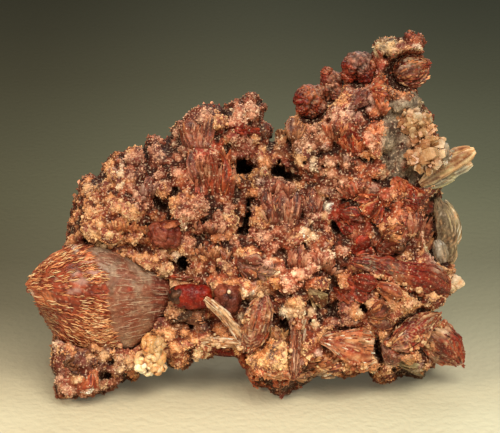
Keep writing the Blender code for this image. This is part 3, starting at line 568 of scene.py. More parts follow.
def sheaf_room(u, v, y):
    """Room in mm kept free for the large sheaf, positive inside it."""
    top = np.interp(u, SHEAF_U, SHEAF_TOP)
    low = np.interp(u, SHEAF_U, SHEAF_LOW)
    half = (low - top) / 2 + 0.8
    q = np.sqrt(((v - (low + top) / 2) / np.maximum(half, 0.5)) ** 2
                + ((y - SHEAF_Y) / np.maximum(half * UNIT * 0.78, 0.3)) ** 2)
    room = (1 - q) * half * UNIT
    return np.where((u > 20) & (u < 176), room, -3.0)


SHEAF_U = np.array([24.6, 28, 33, 41, 52, 60, 66, 75, 90, 100, 107, 119, 131, 143, 152, 160, 165, 169, 172, 175.0])
SHEAF_TOP = np.array([283.6, 279.5, 273.0, 262.5, 253.5, 249.0, 245.5, 243.5, 242.5, 244.0, 246.5, 251.5, 257.5, 263.5,
                      268.5, 273.0, 275.5, 278.5, 282.0, 287.0])
SHEAF_LOW = np.array([285.0, 289, 297, 312.5, 332, 340.5, 345, 349, 352.0, 353.0, 353.0, 352.3, 350, 342, 334, 326,
                      320, 313, 306, 297.0])
SHEAF_Y = -12.0


# ================================================================ closed crystal shapes
def template(verts, polys):
    """A convex closed shape as vertices and outward triangles."""
    verts = np.array(verts, float)
    c = verts.mean(0)
    tris = []
    for poly in polys:
        for k in range(1, len(poly) - 1):
            t = [poly[0], poly[k], poly[k + 1]]
            n = np.cross(verts[t[1]] - verts[t[0]], verts[t[2]] - verts[t[0]])
            tris.append(t if n @ (verts[t].mean(0) - c) > 0 else t[::-1])
    return verts, np.array(tris)


BLADE = template([(0, -.42, -.42), (0, .42, -.42), (0, .42, .42), (0, -.42, .42),
                  (.74, -.5, -.5), (.74, .5, -.5), (.74, .5, .5), (.74, -.5, .5), (1, -.26, 0), (1, .26, 0)],
                 [(0, 1, 2, 3), (0, 1, 5, 4), (1, 2, 6, 5), (2, 3, 7, 6), (3, 0, 4, 7),
                  (4, 5, 9, 8), (7, 6, 9, 8), (4, 7, 8), (5, 6, 9)])
POINT = template([(0, -.5, 0), (0, .5, 0), (0, 0, -.5), (0, 0, .5), (.6, -.4, -.4), (.6, .4, -.4), (.6, .4, .4),
                  (.6, -.4, .4), (1, 0, 0)],
                 [(0, 2, 1, 3), (0, 2, 4), (2, 4, 5), (2, 1, 5), (1, 5, 6), (1, 3, 6), (3, 6, 7), (3, 0, 7), (0, 4, 7),
                  (4, 5, 8), (5, 6, 8), (6, 7, 8), (7, 4, 8)])
RHOMB = template([(0, 0, 0), (.45, -.5, -.12), (.45, .5, .12), (.5, -.1, .5), (.5, .1, -.5), (1, 0, 0)],
                 [(0, 1, 3), (0, 3, 2), (0, 2, 4), (0, 4, 1), (5, 1, 3), (5, 3, 2), (5, 2, 4), (5, 4, 1)])
BLOCK = template([(0, -.45, -.45), (0, .45, -.45), (0, .45, .45), (0, -.45, .45),
                  (.8, -.5, -.5), (.8, .5, -.5), (.8, .5, .5), (.8, -.5, .5),
                  (1, -.36, -.36), (1, .36, -.36), (1, .36, .36), (1, -.36, .36)],
                 [(0, 1, 2, 3), (0, 1, 5, 4), (1, 2, 6, 5), (2, 3, 7, 6), (3, 0, 4, 7),
                  (4, 5, 9, 8), (5, 6, 10, 9), (6, 7, 11, 10), (7, 4, 8, 11), (8, 9, 10, 11)])


def unit(v):
    return v / np.maximum(np.linalg.norm(v, axis=-1, keepdims=True), 1e-9)


def crystals(shape, origin, axis, flat, size, root_rgb, tip_rgb):
    """Many copies of a shape. axis: growth direction; flat: rough direction of the thin side; size: n x 3 mm."""
    v, f = shape
    X = unit(axis)
    Y = unit(np.cross(flat, X))
    Z = np.cross(X, Y)
    n = len(origin)
    P = (origin[:, None] + (v[None, :, 0] * size[:, 0:1])[..., None] * X[:, None]
         + (v[None, :, 1] * size[:, 1:2])[..., None] * Y[:, None]
         + (v[None, :, 2] * size[:, 2:3])[..., None] * Z[:, None])
    F = f[None] + (np.arange(n) * len(v))[:, None, None]
    share = np.clip(v[:, 0] * 1.15, 0, 1)[None, :, None]
    C = root_rgb[:, None] * (1 - share) + tip_rgb[:, None] * share
    return P.reshape(-1, 3), F.reshape(-1, 3), C.reshape(-1, 3)


class Heap:
    """Collects closed shapes for one mesh."""

    def __init__(self):
        self.v, self.f, self.c, self.n = [], [], [], 0

    def add(self, v, f, c):
        if len(v) == 0:
            return
        f = np.asarray(f)
        if f.shape[1] == 4:
            f = np.vstack([f[:, [0, 1, 2]], f[:, [0, 2, 3]]])
        self.v.append(v)
        self.f.append(f + self.n)
        self.c.append(np.broadcast_to(c, (len(v), 3)))
        self.n += len(v)

    def made(self, name, smooth=False):
        v = np.vstack(self.v)
        v[:, 2] = np.maximum(v[:, 2], 0.02)
        obj = mesh_object(name, v, np.vstack(self.f), np.vstack(self.c), smooth)
        if smooth:
            obj.data.set_sharp_from_angle(angle=math.radians(48))
        return obj


# ================================================================ materials
def node_material(name, rough=(0.35, 0.6), bump=0.25, bump_size=0.5, coat=0.0, sss=0.0, tint=0.16, spec=0.5,
                  grain=1.6, specks=0.5, speck_size=0.7):
    """A Principled material driven by the painted colour and by noise."""
    mat = bpy.data.materials.new(name)
    mat.use_nodes = True
    nt = mat.node_tree
    nt.nodes.clear()

    def node(kind, **kw):
        n = nt.nodes.new(kind)
        for k, v in kw.items():
            setattr(n, k, v)
        return n

    out = node("ShaderNodeOutputMaterial")
    bsdf = node("ShaderNodeBsdfPrincipled")
    nt.links.new(bsdf.outputs[0], out.inputs[0])
    col = node("ShaderNodeAttribute", attribute_name="Col")
    coords = node("ShaderNodeTexCoord")
    fine = node("ShaderNodeTexNoise")
    fine.inputs["Scale"].default_value = 1000.0 / grain
    fine.inputs["Detail"].default_value = 4.0
    fine.inputs["Roughness"].default_value = 0.6
    nt.links.new(coords.outputs["Object"], fine.inputs["Vector"])
    shade = node("ShaderNodeMapRange")
    shade.inputs["From Min"].default_value = 0.3
    shade.inputs["From Max"].default_value = 0.7
    shade.inputs["To Min"].default_value = 1 - tint
    shade.inputs["To Max"].default_value = 1 + tint
    nt.links.new(fine.outputs["Fac"], shade.inputs["Value"])
    mult = node("ShaderNodeVectorMath", operation="SCALE")
    nt.links.new(col.outputs["Color"], mult.inputs[0])
    nt.links.new(shade.outputs["Result"], mult.inputs["Scale"])
    # painted highlights and shade: pale specks stand in for the sparkle of tiny crystal faces, dark specks for the
    # shaded gaps between them
    speck = node("ShaderNodeTexNoise")
    speck.inputs["Scale"].default_value = 1000.0 / speck_size
    speck.inputs["Detail"].default_value = 2.0
    nt.links.new(coords.outputs["Object"], speck.inputs["Vector"])
    lightest = node("ShaderNodeMapRange")
    lightest.inputs["From Min"].default_value = 0.56
    lightest.inputs["From Max"].default_value = 0.72
    lightest.inputs["To Max"].default_value = specks
    nt.links.new(speck.outputs["Fac"], lightest.inputs["Value"])
    darkest = node("ShaderNodeMapRange")
    darkest.inputs["From Min"].default_value = 0.44
    darkest.inputs["From Max"].default_value = 0.30
    darkest.inputs["To Max"].default_value = specks
    nt.links.new(speck.outputs["Fac"], darkest.inputs["Value"])
    speck_highlight = node("ShaderNodeMix", data_type="RGBA")
    speck_highlight.inputs["B"].default_value = (0.86, 0.60, 0.40, 1)
    nt.links.new(mult.outputs["Vector"], speck_highlight.inputs["A"])
    nt.links.new(lightest.outputs["Result"], speck_highlight.inputs["Factor"])
    deep = node("ShaderNodeMix", data_type="RGBA")
    deep.inputs["B"].default_value = (0.085, 0.019, 0.007, 1)
    nt.links.new(speck_highlight.outputs["Result"], deep.inputs["A"])
    nt.links.new(darkest.outputs["Result"], deep.inputs["Factor"])
    nt.links.new(deep.outputs["Result"], bsdf.inputs["Base Color"])
    wear = node("ShaderNodeTexNoise")
    wear.inputs["Scale"].default_value = 420.0
    wear.inputs["Detail"].default_value = 3.0
    nt.links.new(coords.outputs["Object"], wear.inputs["Vector"])
    r = node("ShaderNodeMapRange")
    r.inputs["From Min"].default_value = 0.3
    r.inputs["From Max"].default_value = 0.7
    r.inputs["To Min"].default_value = rough[0]
    r.inputs["To Max"].default_value = rough[1]
    nt.links.new(wear.outputs["Fac"], r.inputs["Value"])
    nt.links.new(r.outputs["Result"], bsdf.inputs["Roughness"])
    rough_noise = node("ShaderNodeTexNoise")
    rough_noise.inputs["Scale"].default_value = 1000.0 / bump_size
    rough_noise.inputs["Detail"].default_value = 3.0
    nt.links.new(coords.outputs["Object"], rough_noise.inputs["Vector"])
    b = node("ShaderNodeBump")
    b.inputs["Strength"].default_value = bump
    b.inputs["Distance"].default_value = 0.0004
    nt.links.new(rough_noise.outputs["Fac"], b.inputs["Height"])
    nt.links.new(b.outputs["Normal"], bsdf.inputs["Normal"])
    bsdf.inputs["Specular IOR Level"].default_value = spec
    bsdf.inputs["Coat Weight"].default_value = coat
    bsdf.inputs["Coat Roughness"].default_value = 0.12
    if sss:
        bsdf.inputs["Subsurface Weight"].default_value = sss
        bsdf.inputs["Subsurface Radius"].default_value = (0.0012, 0.0006, 0.0003)
        bsdf.inputs["Subsurface Scale"].default_value = 1.0
    return mat


MATS = {
    "crust": node_material("crust_surface", (0.45, 0.75), 0.9, 0.45, tint=0.35, grain=0.9, specks=0.75, speck_size=0.5,
                           spec=0.18),
    "grains": node_material("druse_grains", (0.25, 0.5), 0.5, 0.4, tint=0.25, coat=0.12, specks=0.6, speck_size=0.5,
                            spec=0.3),
    "stilbite": node_material("stilbite_blades", (0.32, 0.55), 0.5, 0.35, tint=0.28, coat=0.06, specks=0.28,
                              speck_size=0.5, spec=0.28),
    "sheaf": node_material("stilbite_sheaf", (0.34, 0.6), 0.35, 0.5, tint=0.22, coat=0.05, grain=0.8, specks=0.3,
                           spec=0.28),
    "red": node_material("heulandite_red", (0.30, 0.5), 0.6, 0.4, tint=0.35, coat=0.10, grain=0.8, specks=0.10,
                         speck_size=0.4, spec=0.22),
    "peach": node_material("heulandite_peach", (0.24, 0.45), 0.3, 0.5, tint=0.22, coat=0.15, sss=0.1, grain=1.2,
                           specks=0.25, speck_size=0.5, spec=0.4),
    "calcite": node_material("calcite_white", (0.28, 0.48), 0.3, 0.5, tint=0.14, coat=0.15, sss=0.25, grain=1.2,
                             specks=0.2, spec=0.4),
}


def finish_piece(obj, material, slot, *nodes):
    obj.data.materials.append(MATS[material])
    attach(obj, "root")
    if nodes:
        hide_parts(*nodes)
    return obj


# ================================================================ the matrix
# u, v of the root, direction in degrees, length, half width at the end (drawing units), lift in mm,
# palette in the creases, palette on the crests, share of crest colour
WEDGES = [
    (382, 196, 172, 26, 7, 1.2, "deep", "orange", 0.3), (382, 200, 140, 24, 8, 1.6, "red", "gold", 0.4),
    (383, 203, 108, 22, 7, 1.2, "deep", "orange", 0.3), (398, 198, 16, 40, 6, 1.4, "deep", "rust", 0.3),
    (380, 238, -24, 26, 7, 1.2, "rust", "gold", 0.6), (382, 244, 8, 24, 8, 1.4, "brown", "rust", 0.4),
    (334, 212, 6, 26, 8, 1.2, "deep", "rust", 0.3), (335, 218, 40, 22, 7, 1.0, "deep", "rust", 0.3),
    (345, 278, 10, 32, 8, 1.2, "deep", "rust", 0.3), (346, 284, 40, 26, 8, 1.2, "red", "orange", 0.35),
    (372, 284, 22, 32, 8, 1.4, "rust", "gold", 0.6), (308, 289, 46, 24, 8, 1.0, "brown", "plate", 0.6),
    (334, 288, 30, 24, 8, 1.0, "red", "rust", 0.4), (282, 230, -92, 40, 9, 1.2, "maroon", "pink", 0.5),
    (271, 228, -98, 36, 6, 1.0, "maroon", "pink", 0.5), (293, 230, -84, 38, 7, 1.0, "maroon", "pink", 0.5),
    (212, 200, -94, 46, 7, 0.9, "red", "pink", 0.5), (222, 200, -86, 40, 7, 1.1, "red", "orange", 0.4),
    (202, 196, -104, 44, 7, 0.9, "maroon", "pink", 0.5), (194, 154, -96, 36, 9, 0.9, "maroon", "pink", 0.5),
    (206, 154, -82, 36, 7, 0.9, "maroon", "pink", 0.5), (146, 200, -76, 24, 6, 1.0, "maroon", "mauve", 0.7),
    (372, 92, -46, 20, 7, 1.2, "red", "gold", 0.4), (368, 92, -6, 18, 7, 1.0, "red", "gold", 0.4),
    (350, 110, -50, 26, 7, 0.9, "maroon", "mauve", 0.7), (294, 144, -94, 26, 7, 1.2, "brown", "tan", 0.6),
    (280, 147, -92, 18, 5, 1.2, "tan", "cream", 0.7), (236, 260, 6, 26, 8, 1.0, "maroon", "mauve", 0.5),
    (237, 264, 38, 24, 7, 0.9, "maroon", "gold", 0.5), (252, 272, -4, 24, 6, 1.0, "mauve", "pink", 0.5),
    (248, 302, -38, 22, 5, 1.0, "tan", "cream", 0.9), (299, 272, -90, 26, 7, 1.0, "rust", "pink", 0.6),
    (415, 242, -84, 30, 7, 1.2, "rust", "pink", 0.7), (421, 246, -66, 26, 7, 1.0, "rust", "gold", 0.7),
    (376, 254, -30, 24, 8, 1.2, "maroon", "rust", 0.4), (352, 254, -46, 24, 8, 1.2, "deep", "rust", 0.4),
    (353, 256, -6, 22, 7, 1.0, "deep", "orange", 0.3), (366, 318, -26, 26, 8, 1.2, "maroon", "gold", 0.5),
    (367, 321, 10, 26, 7, 1.0, "maroon", "mauve", 0.5), (380, 342, 14, 26, 8, 1.2, "maroon", "mauve", 0.5),
    (381, 347, 46, 24, 8, 1.2, "rust", "mauve", 0.5), (204, 350, 2, 36, 5, 0.6, "deep", "red", 0.3),
    (238, 352, 48, 12, 6, 0.8, "red", "orange", 0.7), (246, 366, 42, 12, 6, 0.8, "orange", "pink", 0.8),
    (262, 371, 12, 16, 4, 0.8, "orange", "cream", 0.8), (278, 376, 4, 20, 4, 0.8, "orange", "cream", 0.9),
    (294, 379, -20, 18, 4, 0.8, "pink", "cream", 0.9), (230, 131, -6, 22, 4, 0.6, "deep", "red", 0.3),
    (352, 156, -98, 26, 8, 0.9, "deep", "rust", 0.4), (338, 144, -88, 24, 7, 0.9, "rust", "pink", 0.5),
    (310, 216, -84, 26, 7, 0.9, "maroon", "pink", 0.5), (404, 182, 60, 20, 7, 1.0, "red", "orange", 0.4),
    (358, 200, -110, 20, 7, 1.0, "red", "pink", 0.4), (322, 372, -14, 24, 5, 0.7, "rust", "gold", 0.6),
    (90, 392, -84, 18, 4, 0.7, "red", "orange", 0.6), (168, 322, -20, 26, 5, 0.8, "dark", "brown", 0.5),
    (178, 318, 8, 26, 5, 0.8, "brown", "tan", 0.5), (158, 276, 4, 34, 3, 0.8, "red", "tan", 0.5),
]


def on_wedge(u, v, share=0.85):
    """True where a drawing point lies on one of the wedges."""
    for u0, v0, turn, length, wide, *_ in WEDGES:
        a = math.radians(turn)
        x = (u - u0) * math.cos(a) + (v - v0) * math.sin(a)
        y = -(u - u0) * math.sin(a) + (v - v0) * math.cos(a)
        if 2 < x < length * 0.97 and abs(y) < share * wide * (0.3 + 0.75 * x / length):
            return True
    return False


# small rounded crusts grown over rock and crystals alike: u, v, reach in drawing units, lumps, palette
CRUSTS = [
    (410, 194, 9, 9, "gold"), (392, 229, 10, 9, "gold"), (384, 283, 9, 9, "gold"), (398, 287, 9, 10, "gold"),
    (412, 293, 9, 8, "gold"), (424, 298, 8, 7, "gold"), (370, 279, 8, 7, "orange"), (377, 305, 8, 8, "gold"),
    (319, 301, 9, 8, "ochre"), (253, 253, 8, 8, "gold"), (240, 258, 7, 6, "gold"), (269, 283, 9, 9, "ochre"),
    (205, 263, 10, 9, "gold"), (218, 256, 8, 6, "tan"), (326, 363, 9, 9, "gold"), (340, 370, 9, 8, "gold"),
    (358, 366, 8, 7, "gold"), (276, 342, 9, 9, "ochre"), (284, 355, 9, 9, "gold"), (268, 358, 9, 8, "ochre"),
    (440, 322, 6, 6, "gold"), (385, 341, 8, 7, "gold"), (424, 342, 9, 8, "gold"), (416, 350, 8, 6, "gold"),
    (380, 374, 9, 8, "gold"), (392, 366, 8, 6, "gold"), (189, 337, 8, 9, "gold"), (200, 353, 9, 9, "cream"),
    (180, 344, 8, 7, "gold"), (212, 346, 7, 6, "tan"), (316, 163, 6, 7, "cream"), (327, 205, 4, 4, "white"),
    (306, 235, 7, 6, "cream"), (290, 313, 6, 7, "cream"), (303, 310, 7, 8, "cream"), (294, 302, 6, 6, "gold"),
    (300, 322, 6, 5, "tan"), (383, 109, 4, 4, "white"), (376, 112, 5, 5, "orange"), (377, 129, 7, 9, "orange"),
    (374, 142, 7, 8, "pink"), (383, 174, 6, 6, "cream"), (377, 160, 7, 7, "orange"), (342, 102, 7, 7, "gold"),
    (352, 110, 6, 5, "cream"), (257, 293, 6, 7, "cream"), (266, 290, 5, 5, "cream"), (123, 364, 7, 7, "cream"),
    (132, 358, 7, 6, "gold"), (86, 388, 4, 4, "white"), (187, 226, 7, 7, "cream"), (163, 193, 7, 7, "gold"),
    (217, 124, 7, 8, "gold"), (206, 118, 6, 5, "pink"), (246, 112, 8, 8, "pink"), (258, 122, 6, 5, "orange"),
    (96, 232, 10, 10, "gold"), (120, 240, 10, 9, "gold"), (140, 236, 9, 7, "gold"), (88, 214, 8, 7, "gold"),
    (134, 212, 9, 9, "gold"), (112, 204, 9, 8, "gold"), (165, 250, 8, 7, "tan"), (184, 240, 8, 7, "pink"),
    (340, 255, 8, 6, "pink"), (324, 262, 8, 7, "pink"), (312, 286, 8, 8, "orange"), (300, 258, 7, 6, "pink"),
    (354, 240, 8, 6, "orange"), (420, 240, 8, 7, "pink"), (366, 214, 7, 6, "orange"), (408, 178, 7, 6, "orange"),
    (360, 182, 8, 7, "orange"), (330, 186, 8, 7, "pink"), (290, 240, 8, 6, "tan"), (268, 238, 8, 6, "pink"),
    (224, 284, 7, 7, "gold"), (214, 282, 6, 6, "orange"), (182, 306, 7, 7, "tan"), (240, 294, 5, 6, "cream"),
    (244, 318, 5, 5, "cream"), (236, 352, 7, 6, "gold"), (180, 284, 6, 4, "gold"), (152, 226, 6, 5, "ochre"),
    (174, 244, 6, 5, "ochre"), (402, 50, 8, 8, "tan"), (416, 48, 4, 5, "cream"), (384, 48, 7, 6, "ochre"),
    (398, 92, 7, 6, "orange"), (362, 84, 7, 6, "pink"), (340, 118, 7, 6, "pink"), (322, 132, 7, 7, "pink"),
]

# clumps, lumps and knobs: spacing in drawing units, smallest and largest reach in mm, how proud in reaches, share
STAGES = [(27.0, 2.6, 4.6, -0.55, 0.05, 0.72), (11.0, 0.95, 1.75, -0.45, 0.30, 0.86), (6.0, 0.5, 0.85, -0.35, 0.30, 0.8)]


def sow_lumps(stage, depth_in, near, far, zone, seed):
    """Rounded lumps of druse on both sides: place, reach, palette index, tone, squeeze."""
    rng = np.random.default_rng(seed)
    pitch, r_lo, r_hi, low, high, share = STAGES[stage]
    pal_i = {n: k for k, n in enumerate(PALETTE_NAMES)}
    lumpy = np.array([z[9] for z in ZONES] + [0.6])
    rows = []
    for side, spacing in ((0, pitch), (1, pitch * (1.0 if stage == 0 else 1.2))):
        for a in np.arange(30, 476, spacing):
            for b in np.arange(24, 404, spacing):
                u, v = a + rng.uniform(-0.55, 0.55) * spacing, b + rng.uniform(-0.55, 0.55) * spacing
                d = float(grid_read(depth_in, u, v)) * UNIT
                r = rng.uniform(r_lo, r_hi)
                lift = rng.uniform(low, high) * r
                squeeze = rng.uniform(0.75, 1.25, 3)
                chance, tone, mark = rng.random(), rng.random(), rng.random()
                if d < 0.6 * r:
                    continue
                if side == 0:
                    z = int(grid_pick(zone, u, v))
                    if chance > share * (0.1 + 0.9 * lumpy[z]):
                        continue
                    if any(turned(u, v, *c[:5]) < 0.82 for c in CLEAR) or (stage and on_wedge(u, v)):
                        continue
                    if any(turned(u, v, *c[:5]) < (1.5 if stage == 0 else 0.8) for c in VUGS):
                        continue
                    palette = pal_i[ZONES[z][7]] if z >= 0 else pal_i["gold"]
                    if mark < 0.08:
                        palette = pal_i["cream"]
                    elif mark < 0.13:
                        palette = pal_i["maroon"]
                    elif mark < 0.17:
                        palette = pal_i["mauve"]
                    rows.append((*at(u, v, float(grid_read(near, u, v)) - lift), r, palette, tone, *squeeze))
                else:
                    p = at(u, v, float(grid_read(far, u, v)) + lift)
                    bz = BACK_ZONES[int(back_zone(p[None])[0])]
                    if chance > share * (0.3 + 0.7 * bz[3]):
                        continue
                    rows.append((*p, r, pal_i[bz[1]], tone, *squeeze))
    if stage == 2:
        for cu, cv, reach, count, palette in CRUSTS:
            for m in range(count + 5):
                a, q = rng.uniform(0, 6.283), math.sqrt(rng.random()) * reach
                u, v = cu + q * math.cos(a) * 1.1, cv + q * math.sin(a) * 0.8
                r = rng.uniform(0.5, 1.05)
                if float(grid_read(depth_in, u, v)) * UNIT > 0.5 * r:
                    rows.append((*at(u, v, float(grid_read(near, u, v)) - 0.15 * r), r, pal_i[palette],
                                 rng.uniform(0.3, 1.1), *rng.uniform(0.75, 1.25, 3)))
    # round the rim, where the surface turns from the front to the back
    ii, jj = np.nonzero((depth_in * UNIT > 0.5 * r_lo) & (depth_in * UNIT < r_hi * 1.1))
    count = int(7600 / (pitch * UNIT) ** 2)
    order = rng.integers(0, len(ii), count)
    for i, j in zip(ii[order], jj[order]):
        u, v = GU[i] + rng.uniform(-1, 1), GV[j] + rng.uniform(-1, 1)
        d = float(grid_read(depth_in, u, v)) * UNIT
        r = rng.uniform(r_lo, r_hi)
        y0, y1 = float(grid_read(near, u, v)), float(grid_read(far, u, v))
        y = y0 + (y1 - y0) * rng.uniform(0.04, 0.96)
        tone, mark, sq = rng.random(), rng.random(), rng.uniform(0.75, 1.25, 3)
        if not (0.86 if stage == 0 else 0.6) * r < d < (1.3 if stage == 0 else 1.0) * r:
            continue
        z = int(grid_pick(zone, u, v))
        palette = pal_i[ZONES[z][7]] if z >= 0 else pal_i["gold"]
        if y > float(middle(u, v)) + 1:
            palette = pal_i[BACK_ZONES[int(back_zone(at(u, v, y)[None])[0])][1]]
        elif any(turned(u, v, *c[:5]) < 1.05 and y < c[5] + 3 for c in CLEAR):
            continue
        if mark < 0.12:
            palette = pal_i["maroon"]
        rows.append((*at(u, v, y), r, palette, tone, *sq))
    return np.array(rows)


def raise_lumps(F, world, rows):
    uvy = drawn(rows[:, :3])
    for (u0, v0, y0), (x, yy, z, r, _, _, *sq) in zip(uvy, rows):
        i0, i1 = np.searchsorted(GU, [u0 - r * 1.3 / UNIT - 2, u0 + r * 1.3 / UNIT + 2])
        j0, j1 = np.searchsorted(GV, [v0 - r * 1.9 / UNIT - 2, v0 + r * 1.9 / UNIT + 2])
        k0, k1 = np.searchsorted(GY, [y0 - r * 1.3 - 0.5, y0 + r * 1.3 + 0.5])
        sub = world[i0:i1, j0:j1, k0:k1]
        d = r * (1 - np.sqrt((((sub - (x, yy, z)) / (r * np.array(sq))) ** 2).sum(-1)))
        F[i0:i1, j0:j1, k0:k1] = np.maximum(F[i0:i1, j0:j1, k0:k1], d)


def surfaces(F):
    """First and last surface along each sight line."""
    solid = F > 0
    met = solid.any(2)
    near = GY[0] + solid.argmax(2) * STEP_Y - 0.5 * STEP_Y
    far = GY[0] + (F.shape[2] - 1 - solid[:, :, ::-1].argmax(2)) * STEP_Y + 0.5 * STEP_Y
    return np.where(met, near, 99.0), np.where(met, far, -99.0), met


def nearest_lump(p):
    """The lump whose surface is nearest to each point, and the distance from its middle in reaches."""
    key = id(LUMPS)
    tree = LUMP_TREE.get(key)
    if tree is None:
        tree = KDTree(len(LUMPS["reach"]))
        for k, c in enumerate(LUMPS["place"]):
            tree.insert(c, k)
        tree.balance()
        LUMP_TREE[key] = tree
    own = np.zeros(len(p), int)
    stand = np.zeros(len(p))
    reach = LUMPS["reach"]
    for k, q in enumerate(p):
        best, who = 1e9, 0
        for _, i, d in tree.find_n(q, 5):
            e = d / reach[i]
            if e < best:
                best, who = e, i
        own[k], stand[k] = who, best
    return own, stand


LUMP_TREE = {}


def build_matrix():
    depth_in = inside_depth(UU, VV, OUTLINE) - 1.2
    front, back = half_depths(UU, VV, depth_in * UNIT)
    mid = middle(UU, VV)
    zone = zone_of(UU, VV)
    y = GY[None, None, :]
    # the rock under the druse lies a little deeper
    sunk = np.minimum(2.3, np.maximum(depth_in, 0) * UNIT * 0.5)
    F = np.minimum(np.minimum(y - (mid - front + sunk)[:, :, None], (mid + back - sunk)[:, :, None] - y),
                   (depth_in * UNIT * 0.8)[:, :, None]).astype(np.float32)
    world = at(UU[:, :, None], VV[:, :, None], y).astype(np.float32)
    # the far side is thicker low down
    rng = np.random.default_rng(5)
    for x, yy, z, r in rng.uniform([-44, 4, 1, 4.0], [46, 20, 34, 8.0], (260, 4)):
        if yy + r * 0.6 > 21.0 - 0.3 * z or (-33 < x < 6 and z < 16):
            continue
        u0, v0, _ = drawn(np.array([x, yy, z]))
        d = float(grid_read(depth_in, u0, v0)) * UNIT
        r = min(r, d - 0.5)
        if r < 2.5:
            continue
        i0, i1 = np.searchsorted(GU, [u0 - r / UNIT - 4, u0 + r / UNIT + 4])
        j0, j1 = np.searchsorted(GV, [v0 - r / UNIT - 8, v0 + r / UNIT + 8])
        k0, k1 = np.searchsorted(GY, [yy - r - 1, yy + r + 1])
        sub = world[i0:i1, j0:j1, k0:k1]
        F[i0:i1, j0:j1, k0:k1] = np.maximum(F[i0:i1, j0:j1, k0:k1],
                                            r - np.sqrt(((sub - (x, yy, z)) ** 2).sum(-1)))
    # open vugs and the room in front of seated crystals
    for cu, cv, ru, rv, turn, deep in VUGS:
        q = turned(UU, VV, cu, cv, ru, rv, turn)
        i, j = np.nonzero(q < 2.6)
        q[i, j] = vug_reach(UU[i, j], VV[i, j], cu, cv, ru, rv, turn)
        surf = (mid - front)[i, j]
        reach = np.sqrt(np.maximum(0, 1 - (q[i, j] / 1.1) ** 2)) * deep
        wall = (1.1 - q[i, j]) * min(ru, rv) * UNIT
        hole = np.minimum(wall[:, None], (surf + reach)[:, None] - GY[None, :])
        F[i, j] = np.minimum(F[i, j], -hole)
    # druse: clumps first, then lumps on the clumps, then knobs on the lumps
    sown = []
    for stage in range(3):
        near, far, met = surfaces(F)
        near, far = filled(near, met), filled(far, met)
        if stage == 0:
            near, far = blur(near, 3), blur(far, 3)
        rows = sow_lumps(stage, depth_in, near, far, zone, 17 + stage)
        raise_lumps(F, world, rows)
        sown.append(rows)
    t = np.vstack(sown[1:])
    lumps = {"place": t[:, :3], "reach": t[:, 3], "palette": t[:, 4].astype(int), "tone": t[:, 5]}
    for cu, cv, ru, rv, turn, deep in CLEAR:
        q = turned(UU, VV, cu, cv, ru, rv, turn)
        i, j = np.nonzero(q < 1.5)
        F[i, j] = np.minimum(F[i, j], GY[None, :] - deep + (np.maximum(0, q[i, j] - 1) * min(ru, rv) * UNIT * 2.2)[:, None])
    for cu, cv, ru, rv, turn, deep in VUGS:
        q = turned(UU, VV, cu, cv, ru, rv, turn)
        i, j = np.nonzero(q < 2.2)
        q[i, j] = vug_reach(UU[i, j], VV[i, j], cu, cv, ru, rv, turn)
        surf = (mid - front)[i, j]
        reach = np.sqrt(np.maximum(0, 1 - q[i, j] ** 2)) * deep * 0.9
        wall = (0.8 - q[i, j]) * min(ru, rv) * UNIT
        hole = np.minimum(wall[:, None], (surf + reach)[:, None] - GY[None, :])
        F[i, j] = np.minimum(F[i, j], -hole)
    # fine roughness near the surface
    band = np.abs(F) < 1.3
    p = world[band].astype(float)
    F[band] += ((domed(cells(p + 50, 1.15, 9)[0]) - 0.5) * 0.55 + (fbm(p, 0.8, 2, 22) - 0.5) * 0.5).astype(np.float32)
    # seat of the large sheaf, and the ground
    F = np.minimum(F, -sheaf_room(UU[:, :, None], VV[:, :, None], y))
    F = np.minimum(F, world[..., 2] - 0.05)
    F = np.clip(F, -8.0, 8.0)
    F[[0, -1]] = -1.0
    F[:, [0, -1]] = -1.0
    F[:, :, [0, -1]] = -1.0
    verts, quads = surface_nets(F)
    verts, quads = keep_largest(verts, quads)
    g = np.stack([GU[0] + verts[:, 0] * STEP, GV[0] + verts[:, 1] * STEP, GY[0] + verts[:, 2] * STEP_Y], 1)
    pos = at(g[:, 0], g[:, 1], g[:, 2])
    pos[:, 2] = np.maximum(pos[:, 2], 0.0)
    seat, last, met = surfaces(F)
    return pos, g, quads, seat, last, met, lumps


def filled(seat, met):
    """The depth map with its gaps filled from the neighbours."""
    s, w = np.where(met, seat, 0.0), met.astype(float)
    out = np.where(met, seat, 0.0)
    known = met.copy()
    for _ in range(40):
        if known.all():
            break
        s, w = blur(np.where(known, out, 0.0)), blur(known.astype(float))
        new = ~known & (w > 1e-6)
        out[new] = s[new] / w[new]
        known |= new
    return out


def cavity_of(verts, quads, normals):
    """How far each vertex lies under its surroundings, in mm."""
    tot = np.zeros_like(verts)
    cnt = np.zeros(len(verts))
    for k in range(4):
        a, b = quads[:, k], quads[:, (k + 1) % 4]
        np.add.at(tot, a, verts[b])
        np.add.at(cnt, a, 1)
    c = ((tot / cnt[:, None] - verts) * normals).sum(1)
    for _ in range(3):
        s = np.zeros(len(verts))
        for k in range(4):
            np.add.at(s, quads[:, k], c[quads[:, (k + 1) % 4]])
        c = 0.5 * c + 0.5 * s / cnt
    return c


def vertex_normals(verts, quads):
    n, area = face_normals(verts, quads)
    out = np.zeros_like(verts)
    for k in range(quads.shape[1]):
        np.add.at(out, quads[:, k], n * area[:, None])
    return unit(out)


